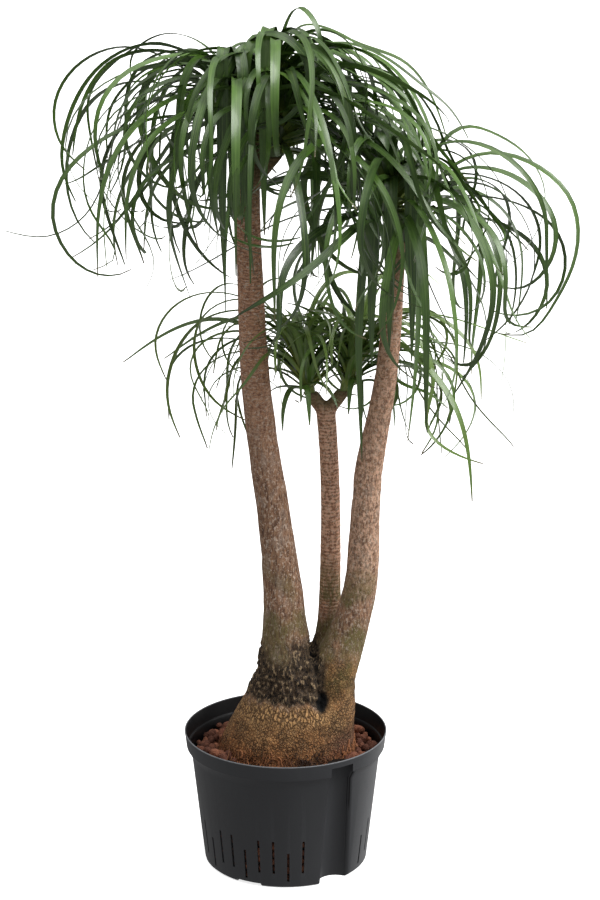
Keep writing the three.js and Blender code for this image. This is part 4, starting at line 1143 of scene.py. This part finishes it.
def rule_leaf(head, number, attempt):
    """A leaf by rule. It leaves its root at a slope that falls with its rank, bends over along a stretch of
    its length until it hangs, and curls inwards towards its tip."""
    leaves, length = HEADS[head][3:]
    rank = (number + 0.5) / leaves
    azimuth = math.degrees(number * GOLDEN_ANGLE) + RULE_TURN * attempt * (1 if attempt % 2 else -1)
    small = length < SMALL_HEAD
    rise = lerp(LEAF_RISE[0], SMALL_RISE if small else LEAF_RISE[1], rank ** 0.85)
    rise += RISE_SPREAD * (draw_at(number * 3 + attempt, 0.7549) - 0.5)
    fall = -lerp(*LEAF_FALL, draw_at(number + 2 * attempt, 0.5698))
    onset = lerp(*LEAF_ONSET, draw_at(number * 2 + attempt, 0.4142))
    breadth = lerp(*LEAF_BREADTH, draw_at(number * 5 + attempt, 0.6180))
    curl = lerp(*LEAF_CURL, draw_at(number * 7 + 3 * attempt, 0.3028))
    swing = LEAF_SWING * (draw_at(number + 5 * attempt, 0.8191) - 0.5)
    hook = LEAF_HOOK * (draw_at(number * 4 + attempt, 0.2361) - 0.5)
    width = LEAF_WIDTH * (SMALL_WIDTH if small else 1)
    if small and number % YOUNG_EVERY == 0:
        rise, fall, curl, hook = lerp(*YOUNG_RISE, rank), YOUNG_FALL, YOUNG_CURL, 0
        width, length = LEAF_WIDTH * YOUNG_WIDTH, YOUNG_LENGTH * length
    grown = lerp(YOUNGEST_LENGTH, 1, min(1, rank / YOUNG_RANKS))
    length *= lerp(*LENGTH_SPREAD, draw_at(number, 0.9051)) * grown
    length *= 1 - SHORTER * attempt
    path = [root_of(head, azimuth, rank)]
    for step in range(LEAF_STEPS):
        share = (step + 0.5) / LEAF_STEPS
        bent = min(1, max(0, share - onset) / breadth)
        tail = max(0, (share - TAIL_START) / (1 - TAIL_START))
        pitch = math.radians(lerp(rise, fall, bent) - curl * tail ** 1.5)
        heading = azimuth + swing * share + hook * tail ** 2
        forward = math.cos(pitch) * level(heading) + (0, 0, math.sin(pitch))
        path.append(path[-1] + forward * length / LEAF_STEPS)
    width *= lerp(NARROWEST, 1, draw_at(number, 0.3247))
    twist = LEAF_TWIST * (draw_at(number, 0.4450) - 0.5)
    return {"path": np.array(path), "azimuth": azimuth, "width": width, "twist": twist, "rank": rank}


def beside_stem(path, stem):
    """How far a leaf is from a stem's middle across and in depth, and the stem's radius, at each height."""
    rows = np.array(stem)
    across = path[:, 0] - np.interp(path[:, 2], rows[:, 2], rows[:, 0])
    depth = path[:, 1] - np.interp(path[:, 2], rows[:, 2], rows[:, 1])
    return across, depth, np.interp(path[:, 2], rows[:, 2], rows[:, 3])


def meets_stem(path):
    """Whether a leaf runs into a stem after it has left its own."""
    free = path[len(path) // 6:]
    for stem in STEMS:
        across, depth, radius = beside_stem(free, stem)
        if np.any((np.hypot(across, depth) < radius + STEM_CLEARANCE) & (free[:, 2] < stem[-1][2])):
            return True
    return False


def hides_stem(path):
    """Whether more than a little of a leaf hangs in front of a bare stem."""
    hidden = 0
    for stem in STEMS:
        across, depth, radius = beside_stem(path, stem)
        low = path[:, 2] < stem[-1][2] - BARE_STEM
        hidden += np.count_nonzero(low & (depth < 0) & (np.abs(across) < radius + STEM_EDGE))
    return hidden > MOST_HIDDEN[int(path[0, 2] < SMALL_TOP)]


def outside_crown(path):
    """Whether a leaf leaves the crown's box, or shows above its upper outline or below its lower one."""
    shown = path[:, 2] + SIGHT_SLOPE * path[:, 1]
    top = np.interp(path[:, 0], *np.transpose(CROWN_TOP))
    foot = np.interp(path[:, 0], *np.transpose(CENTRE_FOOT if path[0, 2] < SMALL_TOP else CROWN_FOOT))
    beyond = np.any(shown > top) or np.any(shown < foot)
    return bool(np.any(path < CROWN_LOW) or np.any(path > CROWN_HIGH) or beyond)


def first_clear(make, *facts):
    """The first try at a leaf that runs into no stem, or for one by rule none if there is no such try."""
    by_rule = make is rule_leaf
    for attempt in range(TRIES):
        leaf = make(*facts, attempt)
        path = leaf["path"]
        if meets_stem(path) or by_rule and (outside_crown(path) or hides_stem(path)):
            continue
        return leaf
    return None if by_rule else leaf


def strap(leaf):
    """The corners of a leaf's section at every step: left edge, groove, right edge and keel."""
    path = leaf["path"]
    share = np.linspace(0, 1, len(path))[:, None]
    along = np.gradient(path, axis=0)
    along /= np.linalg.norm(along, axis=1, keepdims=True)
    side = level(leaf["azimuth"] + 90) - along * (along @ level(leaf["azimuth"] + 90))[:, None]
    side /= np.linalg.norm(side, axis=1, keepdims=True)
    turn = np.radians(leaf["twist"]) * share
    side = side * np.cos(turn) + np.cross(along, side) * np.sin(turn)
    up = np.cross(along, side)
    half = leaf["width"] / 2 * np.minimum(1, 0.7 + 2.4 * share) * (1 - share ** 2.4) + TIP_WIDTH / 2
    fold = np.radians(KEEL_FOLD[0] + KEEL_FOLD[1] * (1 - np.minimum(1, share / 0.45)))
    out, lifted = side * half * np.cos(fold), up * half * np.sin(fold)
    keel = LEAF_THICKNESS * (1 - 0.8 * share)
    return np.stack([path - out + lifted, path, path + out + lifted, path - up * keel], axis=1)


def leaf_mesh(name, leaves, dullest, fresh):
    """The leaves of a head as one mesh, with how far across and along each a place is as its UV map."""
    corners, faces, uvs, tones, ages = [], [], [], [], []
    for number, leaf in enumerate(leaves):
        rings = strap(leaf)
        steps = len(rings)
        faces += tube_faces(len(corners), steps, 4)
        corners.extend(rings.reshape(-1, 3))
        for step in range(steps):
            uvs.extend((u, step / (steps - 1)) for u in (0, 0.5, 1, 0.5))
        tones.extend([lerp(dullest, 1, draw_at(number * 3 + 1, 0.6180))] * 4 * steps)
        ages.extend([leaf["rank"] - fresh] * 4 * steps)
    piece = from_faces(name, corners, faces)
    layer = piece.data.uv_layers.new(name="leaf")
    loops = np.empty(len(piece.data.loops), int)
    piece.data.loops.foreach_get("vertex_index", loops)
    layer.data.foreach_set("uv", np.array(uvs, np.float32)[loops].ravel())
    set_attribute(piece.data, "tone", tones)
    set_attribute(piece.data, "age", ages)
    return piece


def tuft_core(head):
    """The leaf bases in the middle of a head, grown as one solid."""
    foot, point = np.array(HEADS[head][1:3])
    middle = [lerp(foot, point, share) for share, radius in CORE]
    slim = 1 if HEADS[head][4] > SMALL_HEAD else SMALL_CORE
    core = grow("core", [(*p, slim * radius, slim * radius) for p, (share, radius) in zip(middle, CORE)], 20)
    layer = core.data.uv_layers.new(name="leaf")
    layer.data.foreach_set("uv", np.full(2 * len(core.data.loops), CORE_ALONG * slim, np.float32))
    set_attribute(core.data, "tone", np.zeros(len(core.data.vertices)))
    set_attribute(core.data, "age", np.full(len(core.data.vertices), 0.6))
    return core


waxy = {"Specular_IOR_Level": 0.55, "Coat_Weight": 0.5, "Coat_Roughness": 0.22}
leaf_skin, on_leaf = new_finish("leaf_skin", "UV", **waxy)
across = on_leaf.axis("X")
along = on_leaf.axis("Y")
tone = on_leaf.attribute("tone")
age = on_leaf.attribute("age")


def on_strap(across_scale, along_scale, tone_scale):
    """Coordinates across and along a leaf, with a place of its own for each leaf."""
    scaled = {"X": across * across_scale, "Y": along * along_scale, "Z": tone * tone_scale}
    return on_leaf.node("CombineXYZ", inputs=scaled)


lines = on_strap(26, 3, 37).grain(1, 3, 0.6)
patches = on_strap(2, 9, 61).grain(1, 3, 0.5)
midrib = 1 - (across - 0.5).math("ABSOLUTE", across - 0.5).rise(0.02, 0.10)
green = (tone * 0.7 + patches.rise(0.3, 0.7) * 0.45 - age * 0.15).blend(LEAF_DEEP, LEAF_GREEN)
green = ((1 - age.rise(-1.05, 0.0)) * 0.5).blend(green, LEAF_FRESH)
green = (lines.rise(0.48, 0.75) * 0.55 + midrib * 0.12).blend(green, LEAF_LIGHT)
green = (1 - along.rise(0.015, 0.13)).blend(green, LEAF_ROOT)
green = (along.rise(0.93, 1.0) * tone.rise(0.45, 0.6)).blend(green, LEAF_TIP)
wire(
    leaf_skin,
    Base_Color=green,
    Roughness=0.28 + lines * 0.18 + patches * 0.1,
    Normal=(lines + midrib * 0.5).relief(0.35, 0.0004),
)
for head in HEADS:
    count, length = HEADS[head][3:]
    leaves = [first_clear(placed_leaf, head, row) for row in PLACED[head]]
    leaves += [leaf for leaf in (first_clear(rule_leaf, head, number) for number in range(count)) if leaf]
    dullest, fresh = (0, 0) if length > SMALL_HEAD else (0.55, 1)
    piece = joined(head + "_leaves", [leaf_mesh(head, leaves, dullest, fresh), tuft_core(head)])
    turn_outwards(piece)
    bpy.ops.object.shade_smooth_by_angle(angle=math.radians(60))
    dress(piece, leaf_skin, head)


# ----------------------------------------------------------------------------------------------------
# The studio. A pale seamless floor, soft even light from all round and a broad soft key from the front
# right, and the camera above the pot, looking a little down at the plant.

CAMERA_PLACE = (0.020, -4.000, 1.822)
CAMERA_PITCH = 17.07
FRAME_HEIGHT = 900  # pixels
FOCAL_LENGTH = 3102.6  # in those pixels
SENSOR_HEIGHT = 36
FLOOR_REACH = 40
ROOM_LIGHT = 0.35
KEY_LIGHT = 2.85
KEY_AZIMUTH = -14
KEY_ELEVATION = 42
KEY_SOFTNESS = 42
TOP_LIGHT = 1.45
TOP_AZIMUTH = -90
TOP_ELEVATION = 84
TOP_SOFTNESS = 75
SIDE_LIGHT = 0.62
SIDE_AZIMUTH = 45
SIDE_ELEVATION = -12
SIDE_SOFTNESS = 60
FLOOR_WHITE = (0.86, 0.86, 0.86, 1)
FLOOR_GLOW = 0.9

bpy.ops.mesh.primitive_plane_add(size=FLOOR_REACH, location=(0, 0, 0))
floor = bpy.context.object
floor.name = "floor"
whites = {"Base_Color": FLOOR_WHITE, "Emission_Color": FLOOR_WHITE}
pale_floor, _ = new_finish("pale_floor", Roughness=0.95, Emission_Strength=FLOOR_GLOW, **whites)
floor.data.materials.append(pale_floor)
floor.visible_diffuse = False  # the plant is lit from above alone, as over a dark studio floor
floor.visible_glossy = False
floor.visible_shadow = False

world = bpy.data.worlds.new("studio")
bpy.context.scene.world = world
world.use_nodes = True
world.node_tree.nodes["Background"].inputs["Color"].default_value = (1, 1, 1, 1)
world.node_tree.nodes["Background"].inputs["Strength"].default_value = ROOM_LIGHT

for strength, azimuth, elevation, softness in (
    (KEY_LIGHT, KEY_AZIMUTH, KEY_ELEVATION, KEY_SOFTNESS),
    (TOP_LIGHT, TOP_AZIMUTH, TOP_ELEVATION, TOP_SOFTNESS),
    (SIDE_LIGHT, SIDE_AZIMUTH, SIDE_ELEVATION, SIDE_SOFTNESS),
):
    aim = Euler((math.radians(90 - elevation), 0, math.radians(azimuth + 90)))
    bpy.ops.object.light_add(type="SUN", location=(1, -1, 2), rotation=aim)
    bpy.context.object.data.energy = strength
    bpy.context.object.data.angle = math.radians(softness)

bpy.ops.object.camera_add(location=CAMERA_PLACE, rotation=(math.radians(90 - CAMERA_PITCH), 0, 0))
camera = bpy.context.object
camera.data.sensor_fit = "VERTICAL"
camera.data.sensor_height = SENSOR_HEIGHT
camera.data.lens = FOCAL_LENGTH * SENSOR_HEIGHT / FRAME_HEIGHT
bpy.context.scene.camera = camera
bpy.context.scene.view_settings.view_transform = "Standard"
